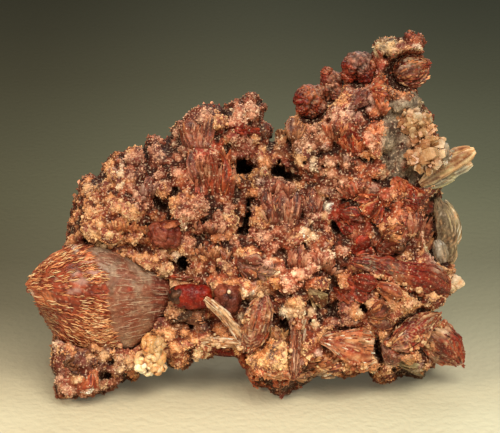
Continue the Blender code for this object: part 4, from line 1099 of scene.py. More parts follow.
PAL = np.zeros((len(PALETTE_NAMES), 6, 3))
for _i, _n in enumerate(PALETTE_NAMES):
    _c = PALETTES[_n]
    _c = _c[np.arange(6) % len(_c)]
    PAL[_i] = _c[np.argsort(_c.sum(1))]
Z_SURF = np.array([PALETTE_NAMES.index(z[6]) for z in ZONES] + [PALETTE_NAMES.index("rust")])
Z_GRAIN = np.array([PALETTE_NAMES.index(z[7]) for z in ZONES] + [PALETTE_NAMES.index("gold")])
Z_COVER = np.array([z[8] for z in ZONES] + [0.8])
B_SURF = np.array([PALETTE_NAMES.index(z[0]) for z in BACK_ZONES])
B_GRAIN = np.array([PALETTE_NAMES.index(z[1]) for z in BACK_ZONES])
B_COVER = np.array([z[2] for z in BACK_ZONES])


def looks_at(p, g):
    """Surface palette, crystal palette and crystal cover at points of the matrix."""
    zone = zone_of(g[:, 0], g[:, 1])
    rear = g[:, 2] > middle(g[:, 0], g[:, 1]) + 1.0 + (value_noise(p, 4.0, 8) - 0.5) * 5
    bz = back_zone(p)
    return (np.where(rear, B_SURF[bz], Z_SURF[zone]), np.where(rear, B_GRAIN[bz], Z_GRAIN[zone]),
            np.where(rear, B_COVER[bz], Z_COVER[zone]), rear)


def in_vug(g, seat_y):
    """How deep a point lies in one of the open vugs, 0..1."""
    dark = np.zeros(len(g))
    for cu, cv, ru, rv, turn, deep in VUGS:
        q = turned(g[:, 0], g[:, 1], cu, cv, ru * 1.1, rv * 1.1, turn)
        i = np.flatnonzero(q < 1.8)
        if len(i):
            q = vug_reach(g[i, 0], g[i, 1], cu, cv, ru * 1.1, rv * 1.1, turn)
            dark[i] = np.maximum(dark[i], np.where(q < 1, (1 - q) * 1.8 * min(1.0, deep / 4.0), 0))
    front, _ = half_depths(g[:, 0], g[:, 1], np.full(len(g), 9.0))
    return np.where(g[:, 2] < middle(g[:, 0], g[:, 1]), np.clip(dark, 0, 1), 0)


def wide_blur(field, r):
    """Mean over a square of 2 r + 1 grid cells."""
    n = 2 * r + 1
    p = np.pad(field, r, mode="edge")
    c = np.cumsum(np.pad(p, ((1, 0), (0, 0))), 0)
    p = c[n:] - c[:-n]
    c = np.cumsum(np.pad(p, ((0, 0), (1, 0))), 1)
    return (c[:, n:] - c[:, :-n]) / n ** 2


pos, g, quads, seat, last, met, LUMPS = build_matrix()
SEAT = filled(seat, met)
REST = filled(last, met)
R_NEAR, R_WIDE = ((4, 11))
E_NEAR, E_WIDE = wide_blur(SEAT, R_NEAR) - SEAT, wide_blur(SEAT, R_WIDE) - SEAT
INNER = np.clip((wide_blur(met.astype(float), R_NEAR) - 0.55) * 2.6, 0, 1)
B_NEAR, B_WIDE = REST - wide_blur(REST, R_NEAR), REST - wide_blur(REST, R_WIDE)


def exposure(g, rear):
    """How openly a point of the surface stands out from its surroundings, 0 in crevices to 1 on crests."""
    u, v, y = g[:, 0], g[:, 1], g[:, 2]
    front = 0.42 * grid_read(E_NEAR, u, v) + 0.16 * grid_read(E_WIDE, u, v) \
        - 0.45 * np.maximum(y - grid_read(SEAT, u, v) - 0.8, 0)
    behind = 0.42 * grid_read(B_NEAR, u, v) + 0.16 * grid_read(B_WIDE, u, v) \
        - 0.45 * np.maximum(grid_read(REST, u, v) - y - 0.8, 0)
    inner = grid_read(INNER, u, v)
    level = np.where(rear, behind, front)
    return np.clip(0.5 + np.maximum(level, -0.04 - 0.5 * inner), 0, 1)


SEAT_SMOOTH = blur(SEAT, 4)
normals = vertex_normals(pos, quads)
cavity = cavity_of(pos, quads, normals)
surf_pal, grain_pal, cover, rear = looks_at(pos, g)
vug = in_vug(g, SEAT)


def shades(palette, t):
    """Colours along a palette, t in 0..1, one palette index per point."""
    t = np.clip(t, 0, 0.9999) * 5
    lo = t.astype(int)
    f = (t - lo)[:, None]
    return PAL[palette, lo] * (1 - f) + PAL[palette, np.minimum(lo + 1, 5)] * f


tone = np.clip(fbm(pos, 2.2, 3, 61) * 2.0 - 0.5, 0, 1)
rock = shades(surf_pal, tone)
owner, stand = nearest_lump(pos)
open_sky = exposure(g, rear)
rim = 1 - grid_read(INNER, g[:, 0], g[:, 1])
open_sky = np.clip(open_sky + rim * (np.clip(1.12 - stand, -0.5, 0.15) * 1.4 - np.clip(cavity, 0, 0.4)), 0, 1)
# painted light and shade: the druse is paler where it stands out and darker in crevices
druse = shades(LUMPS["palette"][owner], np.clip(LUMPS["tone"][owner] * 0.5 + tone * 0.25 + open_sky * 0.55 - 0.24, 0, 1))
grown = (np.clip((1.25 - stand) * 3.0, 0, 1) * np.clip(0.9 - cavity * 2.0, 0.15, 1))[:, None]
grown = grown * np.clip(0.25 + cover * 0.9, 0, 1)[:, None]
colour = rock * 0.8 * (1 - grown) + druse * grown
# colours of the painted shade: near black in deep crevices, brick red in hollows and half shade
shadow_dark = np.array([0.024, 0.007, 0.004])
brick = linear((112, 46, 26))
# painted shade: hollows of the surface darkened towards brick red
hollow_shade = np.clip(cavity * 3.0, 0, 1)[:, None]
colour = colour * (1 - 0.7 * hollow_shade) + brick * 0.45 * hollow_shade
half_shade = np.clip((0.53 - open_sky) * 4.0, 0, 0.75)[:, None]
colour = colour * (1 - half_shade) + brick * (0.7 + 0.6 * tone[:, None]) * half_shade
shadow = np.clip((0.40 - open_sky) * 3.4, 0, 0.92)
beside = np.exp(-((g[:, 0] - 135) / 34) ** 2 - ((g[:, 1] - 254 - (g[:, 0] - 135) * 0.35) / 9) ** 2)
shadow = (shadow * (1 - 0.7 * beside))[:, None]
colour = colour * (1 - shadow) + shadow_dark * shadow
# painted highlight: crests that stand out are made paler
crest = np.clip((open_sky - 0.60) * 2.4, 0, 0.7)[:, None]
colour = colour * (1 - crest) + (colour * 1.3 + 0.03) * crest
bare = ((surf_pal == PALETTE_NAMES.index("slate")) & (stand > 1.15))[:, None]
colour = np.where(bare, colour * 0.25 + rock * (0.55 + 0.4 * tone[:, None]) * 0.75, colour)
# painted shade: dark brown inside the open vugs
colour = colour * (1 - 0.9 * vug[:, None]) + linear((60, 30, 18)) * 0.9 * vug[:, None]


# paler and darker stretches of the crust: centre and reach in drawing units, share of brightness added
STRETCHES = [(268, 352, 66, 30, 0.78), (284, 268, 46, 28, 0.85), (354, 134, 18, 38, 0.62), (244, 114, 18, 16, 0.16),
             (197, 160, 20, 44, 0.34), (330, 368, 40, 16, 0.25), (110, 212, 34, 26, 0.05), (228, 300, 26, 26, 0.16), (192, 345, 20, 10, 0.35), (402, 140, 16, 50, 0.16),
             (396, 226, 44, 30, 0.20)]


def stretch(u, v, rear_side):
    """How much paler the crust is at drawing points."""
    gain = 1.0
    for cu, cv, ru, rv, more in STRETCHES:
        gain = gain + more * np.exp(-((u - cu) / ru) ** 2 - ((v - cv) / rv) ** 2)
    # painted light: the far side is made 1.65 times paler, as the lamps light it less
    return np.where(rear_side, 1.65, gain)


colour = colour * stretch(g[:, 0], g[:, 1], rear)[:, None] ** (1.0, 1.12, 1.20)


def thin_out(obj, groups, keep):
    """Fewer triangles, taken mostly from the groups with the highest weight."""
    group = obj.vertex_groups.new(name="thin")
    for index, weight in groups:
        group.add(index, weight, "REPLACE")
    mod = obj.modifiers.new("thin", "DECIMATE")
    mod.ratio = keep
    mod.vertex_group = "thin"
    mod.use_collapse_triangulate = True
    mesh = bpy.data.meshes.new_from_object(obj.evaluated_get(bpy.context.evaluated_depsgraph_get()))
    obj.modifiers.clear()
    obj.vertex_groups.clear()
    mesh.validate()
    obj.data = mesh
    mesh.shade_smooth()


core = mesh_object("matrix_rock", pos, quads, colour, smooth=True)
hidden = rear | (vug > 0.5) | (pos[:, 2] < 0.6)
thin_out(core, [(np.flatnonzero(hidden).tolist(), 1.0), (np.flatnonzero(~hidden).tolist(), 0.25)],
         min(1.0, 92000 / len(quads)))
finish_piece(core, "crust", "matrix_crust", "matrix")


# ================================================================ small crystals of the crust
def build_grains():
    rng = np.random.default_rng(11)
    fn, area = face_normals(pos, quads)
    centre = pos[quads].mean(1)
    gc = g[quads].mean(1)
    sp, gp, cov, rear_f = looks_at(centre, gc)
    cav = cavity[quads].mean(1)
    dark = in_vug(gc, SEAT)
    st_f = nearest_lump(centre)[1]
    want = area * cov * np.clip(0.9 - cav * 3.0, 0.1, 1.5) * (1 - 0.85 * dark) * np.where(st_f < 1.2, 1.0, 0.5)
    want *= np.where(centre[:, 2] < 0.4, 0, 1) * np.where(rear_f, 0.40, 1.0)
    bright = exposure(gc, rear_f)
    want *= np.clip(bright * 2.2 - 0.5, 0.06, 1.2)
    room = sheaf_room(gc[:, 0], gc[:, 1], gc[:, 2])
    want *= np.where(room > -0.9, 0, 1)
    total = 26000
    pick_f = rng.choice(len(centre), total, p=want / want.sum())
    q = quads[pick_f]
    w = rng.dirichlet([1, 1, 1, 1], total)
    p = (pos[q] * w[..., None]).sum(1)
    n = fn[pick_f]
    gg = (g[q] * w[..., None]).sum(1)
    pal = gp[pick_f]
    # crystals lean away from the middle of their own lump
    own, st = nearest_lump(p)
    lean = p - LUMPS["place"][own]
    lean -= (lean * n).sum(1)[:, None] * n
    bunch = LUMPS["reach"][own][:, None]
    on_lump = st < 1.25
    pal = np.where(on_lump, LUMPS["palette"][own], pal)
    axis = unit(n * 0.8 + np.where(on_lump[:, None], lean / bunch * 0.9, 0) + rng.normal(0, 0.25, (total, 3)))
    size = np.clip(rng.lognormal(math.log(0.38), 0.36, total), 0.20, 1.1)
    size *= np.where(rear_f[pick_f], 1.5, 1.0)
    dims = np.stack([size * rng.uniform(0.8, 1.5, total), size * rng.uniform(0.75, 1.15, total),
                     size * rng.uniform(0.35, 0.8, total)], 1)
    tone_g = np.where(on_lump, LUMPS["tone"][own] * 0.5, 0.25) + fbm(p, 2.2, 2, 61) * 0.3 - 0.12
    # painted light and shade: crystals paler where the crust stands out, darker in crevices
    tone_g = tone_g + bright[pick_f] * 0.62 - 0.10 + rng.normal(0, 0.09, total)
    tip = shades(pal, np.clip(tone_g, 0, 1)) * rng.normal(1.06, 0.10, (total, 1))
    # painted shade: crystals in crevices drift towards brick red
    grain_shade = np.clip((0.56 - bright[pick_f]) * 4.0, 0, 0.7)[:, None]
    tip = tip * (1 - grain_shade) + brick * rng.uniform(0.6, 1.5, (total, 1)) * grain_shade
    # roots darker: partly painted shade where the crystals meet the crust, partly a deeper hue
    low = tip * 0.6 + PAL[sp[pick_f], 1] * 0.12
    # painted shade in hollows and vugs, times the paler stretches of the crust and the painted light of the far side
    fade = 1 - 0.55 * np.clip(cav[pick_f] * 3, 0, 1)[:, None] - 0.45 * dark[pick_f][:, None]
    fade = fade * (0.25 + 0.75 * stretch(gg[:, 0], gg[:, 1], rear_f[pick_f]))[:, None] ** (1.0, 1.08, 1.14)
    tip, low = np.clip(tip * fade, 0.003, 1), np.clip(low * fade, 0.003, 1)
    origin = p - n * (dims[:, 0:1] * 0.4)
    kind = rng.random(total)
    side = unit(lean + rng.normal(0, 0.6, (total, 3)))
    boxes = [("front_left", (gg[:, 0] < 235) & ~rear_f[pick_f]), ("front_right", (gg[:, 0] >= 235) & ~rear_f[pick_f]),
             ("rear", rear_f[pick_f])]
    for label, sel in boxes:
        heap = Heap()
        for shape, ok in ((RHOMB, kind < 0.84), (BLADE, (kind >= 0.84) & (kind < 0.94)), (BLOCK, kind >= 0.94)):
            s = sel & ok
            heap.add(*crystals(shape, origin[s], axis[s], side[s], dims[s], low[s], tip[s]))
        obj = heap.made("druse_" + label)
        finish_piece(obj, "grains", "matrix_crust")


build_grains()


# ================================================================ ridged spindles: sheaves of stilbite
def mix(a, b, t):
    t = np.clip(t, 0, 1)[..., None]
    return a * (1 - t) + b * t


def lerp_palette(name, t):
    i = np.clip(t, 0, 0.9999) * 5
    lo = i.astype(int)
    p = PAL[PALETTE_NAMES.index(name)]
    return mix(p[lo], p[np.minimum(lo + 1, 5)], i - lo)


def spindle_mesh(centre, half, depth_ratio, n_s, n_a, across, along, height, paint, seed, upright=False, fine=0.0,
                 calm=None):
    """A ridged body in drawing space. centre(s) -> u, v, y; half(s) in drawing units, s from 0 to 1.
    Ridges run from end to end, across mm wide and along mm long."""
    s = np.linspace(0, 1, n_s)
    s = 0.5 - 0.5 * np.cos(s * math.pi) * 0.6 - 0.5 * (1 - 2 * s) * 0.4
    a = np.linspace(0, 2 * math.pi, n_a, endpoint=False)
    a = a + 0.35 * np.sin(a * 2 + math.pi)  # closer together on the sides that face the viewer and away
    cu, cv, cy = centre(s)
    h = half(s)
    du, dv = np.gradient(cu), np.gradient(cv)
    size = np.maximum(np.hypot(du, dv), 1e-9)
    nu, nv = (0 * du, 0 * du + 1) if upright else (-dv / size, du / size)
    ca, sa = np.cos(a)[None, :], np.sin(a)[None, :]
    length = np.concatenate([[0], np.cumsum(np.hypot(np.diff(cu), np.diff(cv)))]) * UNIT
    R = float(np.max(h)) * UNIT
    q = np.stack([np.broadcast_to(R * ca, (n_s, n_a)), np.broadcast_to(R * sa, (n_s, n_a)),
                  np.broadcast_to((length * across / along)[:, None], (n_s, n_a))], -1).reshape(-1, 3)
    warp = (np.stack([fbm(q / (1, 1, across / along) + 9 * k, 4.0, 2, seed + 20 + k) for k in range(2)], 1) - 0.5) * 1.0
    q[:, :2] += warp
    near, next_, who = cells(q, across, seed)
    ridge = np.clip(next_ - near, 0, 1)
    out = (ridge - 0.35) * height + (who - 0.5) * height * 0.5
    if not upright:
        out = out + (fbm(q * (1, 1, along / across * 0.5) + 40, R * 0.9, 2, seed + 31) - 0.5) * R * 0.55
    if fine:
        n3, x3, _ = cells(q * (1, 1, 0.7) + 31, across * 0.4, seed + 3)
        out = out + np.clip(x3 - n3, 0, 1) * fine
    grow = np.repeat(np.clip(h * UNIT / 1.5, 0.1, 1), n_a)
    if calm is not None:
        grow = grow * np.repeat(calm(cu), n_a)
    r = h[:, None] * np.ones((1, n_a)) + (out * grow).reshape(n_s, n_a) / UNIT
    u = cu[:, None] + nu[:, None] * ca * r
    v = cv[:, None] + nv[:, None] * ca * r
    yy = cy[:, None] + sa * r * UNIT * depth_ratio * COS
    info = dict(u=u.ravel(), v=v.ravel(), y=yy.ravel(), near=near, ridge=ridge, who=who,
                s=np.repeat(s, n_a), a=np.tile(a, n_s), front=np.tile(-sa[0], n_s))
    P = at(info["u"], info["v"], info["y"])
    col = paint(info, P)
    i = np.arange(n_s - 1)[:, None] * n_a
    k = np.arange(n_a)[None, :]
    k2 = (k + 1) % n_a
    quads = np.stack([i + k, i + k2, i + n_a + k2, i + n_a + k], -1).reshape(-1, 4)
    tris = np.vstack([quads[:, [0, 1, 2]], quads[:, [0, 2, 3]]])
    ends = []
    P = np.vstack([P, P[:n_a].mean(0), P[-n_a:].mean(0)])
    col = np.vstack([col, col[:n_a].mean(0), col[-n_a:].mean(0)])
    first, last = n_s * n_a, n_s * n_a + 1
    kk = np.arange(n_a)
    ends.append(np.stack([np.full(n_a, first), (kk + 1) % n_a, kk], 1))
    base = (n_s - 1) * n_a
    ends.append(np.stack([np.full(n_a, last), base + kk, base + (kk + 1) % n_a], 1))
    tris = np.vstack([tris] + ends)
    vol = np.einsum("ij,ij->i", P[tris[:, 0]], np.cross(P[tris[:, 1]], P[tris[:, 2]])).sum()
    if vol < 0:
        tris = tris[:, ::-1]
    return P, tris, col


def stations(list_):
    t = np.array(list_, float)
    d = np.concatenate([[0], np.cumsum(np.hypot(np.diff(t[:, 0]), np.diff(t[:, 1])))])
    d /= d[-1]

    def smooth(k):
        return lambda s: np.interp(s, d, t[:, k])

    return (lambda s: (smooth(0)(s), smooth(1)(s), smooth(2)(s))), smooth(3)


# border between the red dome of the large sheaf and its grey flank
BORDER_V = np.array([235, 243, 250, 262, 270, 276, 290, 302, 315, 328, 340, 347, 358.0])
BORDER_U = np.array([84, 90, 88, 96, 104, 108, 108, 108, 109, 112, 117, 116, 118.0])
# mauve-grey patches on the dome: the pearly sheen of cleavage faces, given as colour (painted sheen)
MAUVE_SHEEN_SPOTS = [(82, 281, 8, 4), (75, 273, 4, 3), (95, 272, 7, 3), (70, 293, 3.5, 3), (77, 290, 4, 2.6),
               (100, 266, 5, 3), (88, 262, 4, 2)]


def sheaf_flow(u, v):
    """Direction of growth on the large sheaf, in radians, 0 to the right and positive downwards."""
    dome = np.arctan2(v - 289.0, u + 22.0) * 1.15
    flank = np.arctan2(294.0 - v, 290.0 - u)
    t = np.clip((u - 84.0) / 34.0, 0, 1)
    t = t * t * (3 - 2 * t)
    return dome * (1 - t) + flank * t


def sheaf_half(u):
    return (np.interp(u, SHEAF_U, SHEAF_LOW) - np.interp(u, SHEAF_U, SHEAF_TOP)) / 2


def sheaf_mid(u):
    return (np.interp(u, SHEAF_U, SHEAF_LOW) + np.interp(u, SHEAF_U, SHEAF_TOP)) / 2


def sheaf_face(u, v, sign=-1.0):
    """Depth of the large sheaf's surface at drawing points."""
    h = np.maximum(sheaf_half(u) - 1.0, 0.4)
    q = np.clip((v - sheaf_mid(u)) / h, -1, 1)
    return SHEAF_Y + sign * np.sqrt(1 - q * q) * h * UNIT * 0.78 * COS


def paint_large_sheaf(i, P):
    u, v = i["u"], i["v"]
    jag = (fbm(P, 1.6, 3, 71) - 0.5) * 12 + (fbm(P * (0.2, 1, 1), 0.7, 2, 70) - 0.5) * 12
    dome = 1 / (1 + np.exp((u + jag - np.interp(v, BORDER_V, BORDER_U)) / 0.8))
    tone = np.clip(fbm(P, 1.5, 3, 72) * 2.2 - 0.6, 0, 1)
    d = mix(linear((88, 32, 19)), linear((150, 68, 42)), tone)
    d = mix(d, linear((206, 128, 82)), np.clip(fbm(P, 5.0, 2, 78) * 3 - 1.5, 0, 0.6))
    # painted shade: the dome darker red-brown in the grooves between its ridges
    d = mix(linear((66, 24, 16)), d, np.clip(i["ridge"] * 4.0 + 0.15, 0, 1))
    # painted sheen: mauve-grey patches
    for pu, pv, ru, rv in MAUVE_SHEEN_SPOTS:
        w = np.clip(1.5 - np.hypot((u - pu) / ru, (v - pv) / rv), 0, 1)
        d = mix(d, linear((150, 118, 108)), w * 0.8)
    # painted shade on the lower left of the dome
    d = mix(d, linear((92, 48, 34)), np.clip((1.0 - np.hypot((u - 46) / 11, (v - 322) / 18)) * 1.6, 0, 0.75))
    # grey flank
    ang = np.arctan2(v - 294.0, 290.0 - u)
    st = fbm(np.stack([ang * 120, u * 0.05, i["y"] * 0.05], 1), 1.0, 3, 74)
    grey = mix(linear((124, 84, 62)), linear((182, 146, 120)), np.clip(st * 2.6 - 0.8, 0, 1))
    patch = fbm(P, 4.0, 3, 75)
    grey = mix(grey, linear((188, 158, 134)), np.clip(patch * 4.2 - 1.8, 0, 0.85))
    grey = mix(grey, linear((118, 76, 58)), np.clip(fbm(P + 33, 3.2, 3, 77) * 4.6 - 2.3, 0, 0.75))
    grey = mix(grey, linear((196, 168, 142)), 0.6 * np.exp(-((u - 118) / 26) ** 2 - ((v - 270 - (u - 118) * 0.3) / 12) ** 2))
    grey = mix(grey, linear((156, 84, 60)), np.clip(fbm(P + 70, 3.0, 3, 76) * 5 - 2.5, 0, 0.85))
    grey = mix(grey, linear((148, 74, 52)), 0.75 * np.exp(-((u - 128) / 20) ** 2 - ((v - 316) / 15) ** 2))
    grey = mix(grey, linear((116, 70, 52)), np.clip((v - 338) / 12, 0, 1) * np.clip((u - 116) / 8, 0, 1) * 0.4)
    grey = mix(grey, linear((214, 196, 172)), 0.8 * np.exp(-((u - 124) / 9) ** 2 - ((v - 343) / 5) ** 2))
    # painted highlight on the top of the flank
    grey = mix(grey, linear((208, 190, 164)), 0.7 * np.exp(-((u - 104) / 10) ** 2 - ((v - 250) / 4) ** 2))
    grey = mix(grey, linear((172, 60, 36)), 0.9 * np.exp(-((u - 130) ** 2 + (v - 289) ** 2) / 12))
    strip = np.clip((u - 150 + (st - 0.5) * 14) / 4, 0, 1)
    grey = mix(grey, mix(linear((84, 34, 26)), linear((150, 74, 56)), np.clip(st * 2.4 - 0.8, 0, 1)), strip * 0.92)
    # painted shade: the flank a little darker in its grooves
    grey *= (0.92 + 0.12 * np.clip(i["ridge"] * 2, 0, 1))[:, None]
    upper = np.exp(-((u - 122) / 20) ** 2 - ((v - 258) / 9) ** 2)
    core_ = np.exp(-((u - 132) / 18) ** 2 - ((v - 281) / 10) ** 2)
    under = np.exp(-((u - 126) / 20) ** 2 - ((v - 330) / 10) ** 2)
    grey = grey * (1 + upper[:, None] * (-0.40, -0.28, -0.22) + core_[:, None] * (-0.06, 0.24, 0.38)
                   + under[:, None] * (-0.02, -0.16, -0.18))
    # painted light: the dome paler towards its top
    d = d * np.interp(v, [285, 328], [1.36, 1.10])[:, None]
    col = mix(grey * (0.79, 0.71, 0.68), d * (1.06, 0.98, 0.96), dome)
    # painted highlights: two pale glints on the dome
    glint_highlight = np.exp(-((u - 75) ** 2 + (v - 249) ** 2) / 10) + np.exp(-((u - 31) ** 2 + (v - 294) ** 2) / 8)
    return np.clip(mix(col, linear((240, 226, 206)), glint_highlight * 0.75), 0.002, 1)


def surface_blades(heap, starts, face, flow, length, wide, high, low_rgb, top_rgb, rng, wave=0.7, sink=0.12):
    """Low wavy blades lying on a surface, following the flow. starts: n x 2 drawing points."""
    n = len(starts)
    L = rng.uniform(*length, n)
    W = rng.uniform(*wide, n)
    H = rng.uniform(*high, n)
    stations_ = 5
    u, v = starts[:, 0].copy(), starts[:, 1].copy()
    ph, amp = rng.uniform(0, 6.28, n), rng.uniform(0.4, 1.0, n) * wave
    V = np.zeros((n, stations_, 4, 3))
    turn0 = rng.normal(0, 0.10, n)
    for k in range(stations_):
        t = k / (stations_ - 1)
        a = flow(u, v) + turn0
        du, dv = np.cos(a), np.sin(a)
        taper = math.sin(math.pi * min(max(t, 0.03), 0.97)) ** 0.5
        off = amp * np.sin(ph + t * L * 0.75)
        cu, cv = u - dv * off, v + du * off
        y = face(cu, cv)
        for c, (sx, up) in enumerate(((-1, 0), (-0.25, 1), (0.25, 1), (1, 0))):
            ww = W * taper * sx / 2
            pu, pv = cu - dv * ww, cv + du * ww
            yy = np.where(up, y - H * taper, face(pu, pv) + sink)
            V[:, k, c] = at(pu, pv, yy)
        u += du * L / (stations_ - 1)
        v += dv * L / (stations_ - 1)
    F = []
    for k in range(stations_ - 1):
        a, b = 4 * k, 4 * k + 4
        F += [[a + i, a + (i + 1) % 4, b + (i + 1) % 4, b + i] for i in range(4)]
    e = 4 * (stations_ - 1)
    F += [[3, 2, 1, 0], [e, e + 1, e + 2, e + 3]]
    F = np.array(F)
    allF = (F[None] + (np.arange(n) * 4 * stations_)[:, None, None]).reshape(-1, 4)
    P = V.reshape(-1, 3)
    p0 = P[:4 * stations_]
    tri = np.vstack([F[:, [0, 1, 2]], F[:, [0, 2, 3]]])
    if np.einsum("ij,ij->i", p0[tri[:, 0]] - p0.mean(0), np.cross(p0[tri[:, 1]] - p0.mean(0),
                                                                p0[tri[:, 2]] - p0.mean(0))).sum() < 0:
        allF = allF[:, ::-1]
    up = np.array([0, 1, 1, 0.0])[None, None, :, None]
    C = (low_rgb[:, None, None] * (1 - up) + top_rgb[:, None, None] * up) * np.ones((1, stations_, 1, 1))
    heap.add(P, allF, np.clip(C.reshape(-1, 3), 0.003, 1))


def build_large_sheaf():
    def centre(s):
        u = 24.9 + s * (175 - 24.9)
        return u, sheaf_mid(u), np.full(u.shape, SHEAF_Y)

    def half(s):
        return np.maximum(sheaf_half(24.9 + s * (175 - 24.9)) - 1.0, 0.35)

    n_s, n_a = ((176, 270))
    P, tris, col = spindle_mesh(centre, half, 0.78, n_s, n_a, 0.95, 3.6, 0.42, paint_large_sheaf, 31, upright=True,
                                fine=0.06, calm=lambda u: 1 - 0.72 * np.clip((u - 98) / 22, 0, 1))
    obj = mesh_object("stilbite_sheaf_main", P, tris, col, smooth=True)
    finish_piece(obj, "sheaf", "stilbite_rust", "stilbite_sheaf_large")

    # blade ends that stand out on the dome, and fine streaks on the flank
    rng = np.random.default_rng(313)
    heap = Heap()
    for sign in (-1.0, 1.0):
        n = 6500 if sign < 0 else 1500
        uv = np.stack([rng.uniform(29, 116, n), rng.uniform(243, 352, n)], 1)
        h = sheaf_half(uv[:, 0])
        q = np.abs(uv[:, 1] - sheaf_mid(uv[:, 0])) / np.maximum(h, 1)
        ok = (q < 0.97) & (uv[:, 0] < np.interp(uv[:, 1], BORDER_V, BORDER_U) - 4 + rng.normal(0, 3, n))
        # no blade ends on the patches of painted sheen
        for pu, pv, ru, rv in MAUVE_SHEEN_SPOTS:
            ok &= np.hypot((uv[:, 0] - pu) / ru, (uv[:, 1] - pv) / rv) > 1.0
        uv = uv[ok]
        # keep them about one blade apart
        keep = []
        taken = {}
        for k, (a, b) in enumerate(uv):
            f = sheaf_flow(a, b)
            x, y = a * math.cos(f) + b * math.sin(f), -a * math.sin(f) + b * math.cos(f)
            key = (int(x / (5.2 if sign < 0 else 7.0)), int(y / (2.5 if sign < 0 else 3.0)))
            if key not in taken:
                taken[key] = k
                keep.append(k)
        uv = uv[keep]
        n = len(uv)
        pal = linear([(232, 178, 128), (214, 150, 102), (240, 200, 156), (188, 112, 72), (222, 164, 114)])
        top = pal[rng.integers(0, 5, n)] * rng.normal(1.08, 0.12, (n, 1))
        top = np.where(rng.random((n, 1)) < 0.34, linear((158, 80, 50)), top)
        # painted light: blade ends paler towards the top of the dome
        top = top * np.interp(uv[:, 1], [285, 328], [1.18, 1.0])[:, None]
        # painted shade: blade ends on the lower left of the dome are darker
        lower_left_shade = (np.hypot((uv[:, 0] - 46) / 12, (uv[:, 1] - 322) / 20) < 1)[:, None]
        top = np.where(lower_left_shade, top * 0.45, top)
        surface_blades(heap, uv - 4 * np.stack([np.cos(sheaf_flow(*uv.T)), np.sin(sheaf_flow(*uv.T))], 1),
                       lambda a, b: sheaf_face(a, b, sign),
                       sheaf_flow, (4.5, 11), (1.3, 2.3), (0.26, 0.50) if sign < 0 else (-0.50, -0.26),
                       np.broadcast_to(linear((116, 46, 28)), (n, 3)), top, rng, 0.7,
                       0.12 if sign < 0 else -0.12)
        n = 260 if sign < 0 else 120
        uv = np.stack([rng.uniform(96, 160, n), rng.uniform(246, 348, n)], 1)
        q = np.abs(uv[:, 1] - sheaf_mid(uv[:, 0])) / np.maximum(sheaf_half(uv[:, 0]), 1)
        uv = uv[(q < 0.93) & (uv[:, 0] > np.interp(uv[:, 1], BORDER_V, BORDER_U) + 2)]
        n = len(uv)
        pal = linear([(196, 166, 140), (182, 144, 118), (168, 124, 98), (150, 88, 64), (214, 190, 166), (128, 72, 54)])
        top = pal[rng.integers(0, 6, n)]
        surface_blades(heap, uv, lambda a, b: sheaf_face(a, b, sign), sheaf_flow, (7, 18), (0.6, 1.2),
                       (0.08, 0.16) if sign < 0 else (-0.16, -0.08), top * 0.9, top, rng, 0.3,
                       0.12 if sign < 0 else -0.12)
    finish_piece(heap.made("stilbite_sheaf_blade_ends"), "stilbite", "stilbite_rust")




build_large_sheaf()
# ================================================================ tabular crystals

def build_tip():
    heap = Heap()
    for k, (u, v, y, rx, rz) in enumerate([(448, 284, -3.0, 1.9, 1.8), (455, 283, -3.2, 1.5, 1.5), (460, 284, -3.2, 0.8, 0.7),
                                           (452, 290, -3.0, 1.1, 0.9), (457, 279, -3.0, 0.8, 0.7), (451, 278, -3.4, 1.0, 0.8)]):
        lump(heap, u, v, y, rx, rz, rx * 0.8, -10, ("honey", "peach")[k % 2], 620 + k, 18, 26, 0.5, 1.05)
    finish_piece(heap.made("heulandite_tip_right_look", smooth=True), "peach", "heulandite_peach", "heulandite_tip_right")


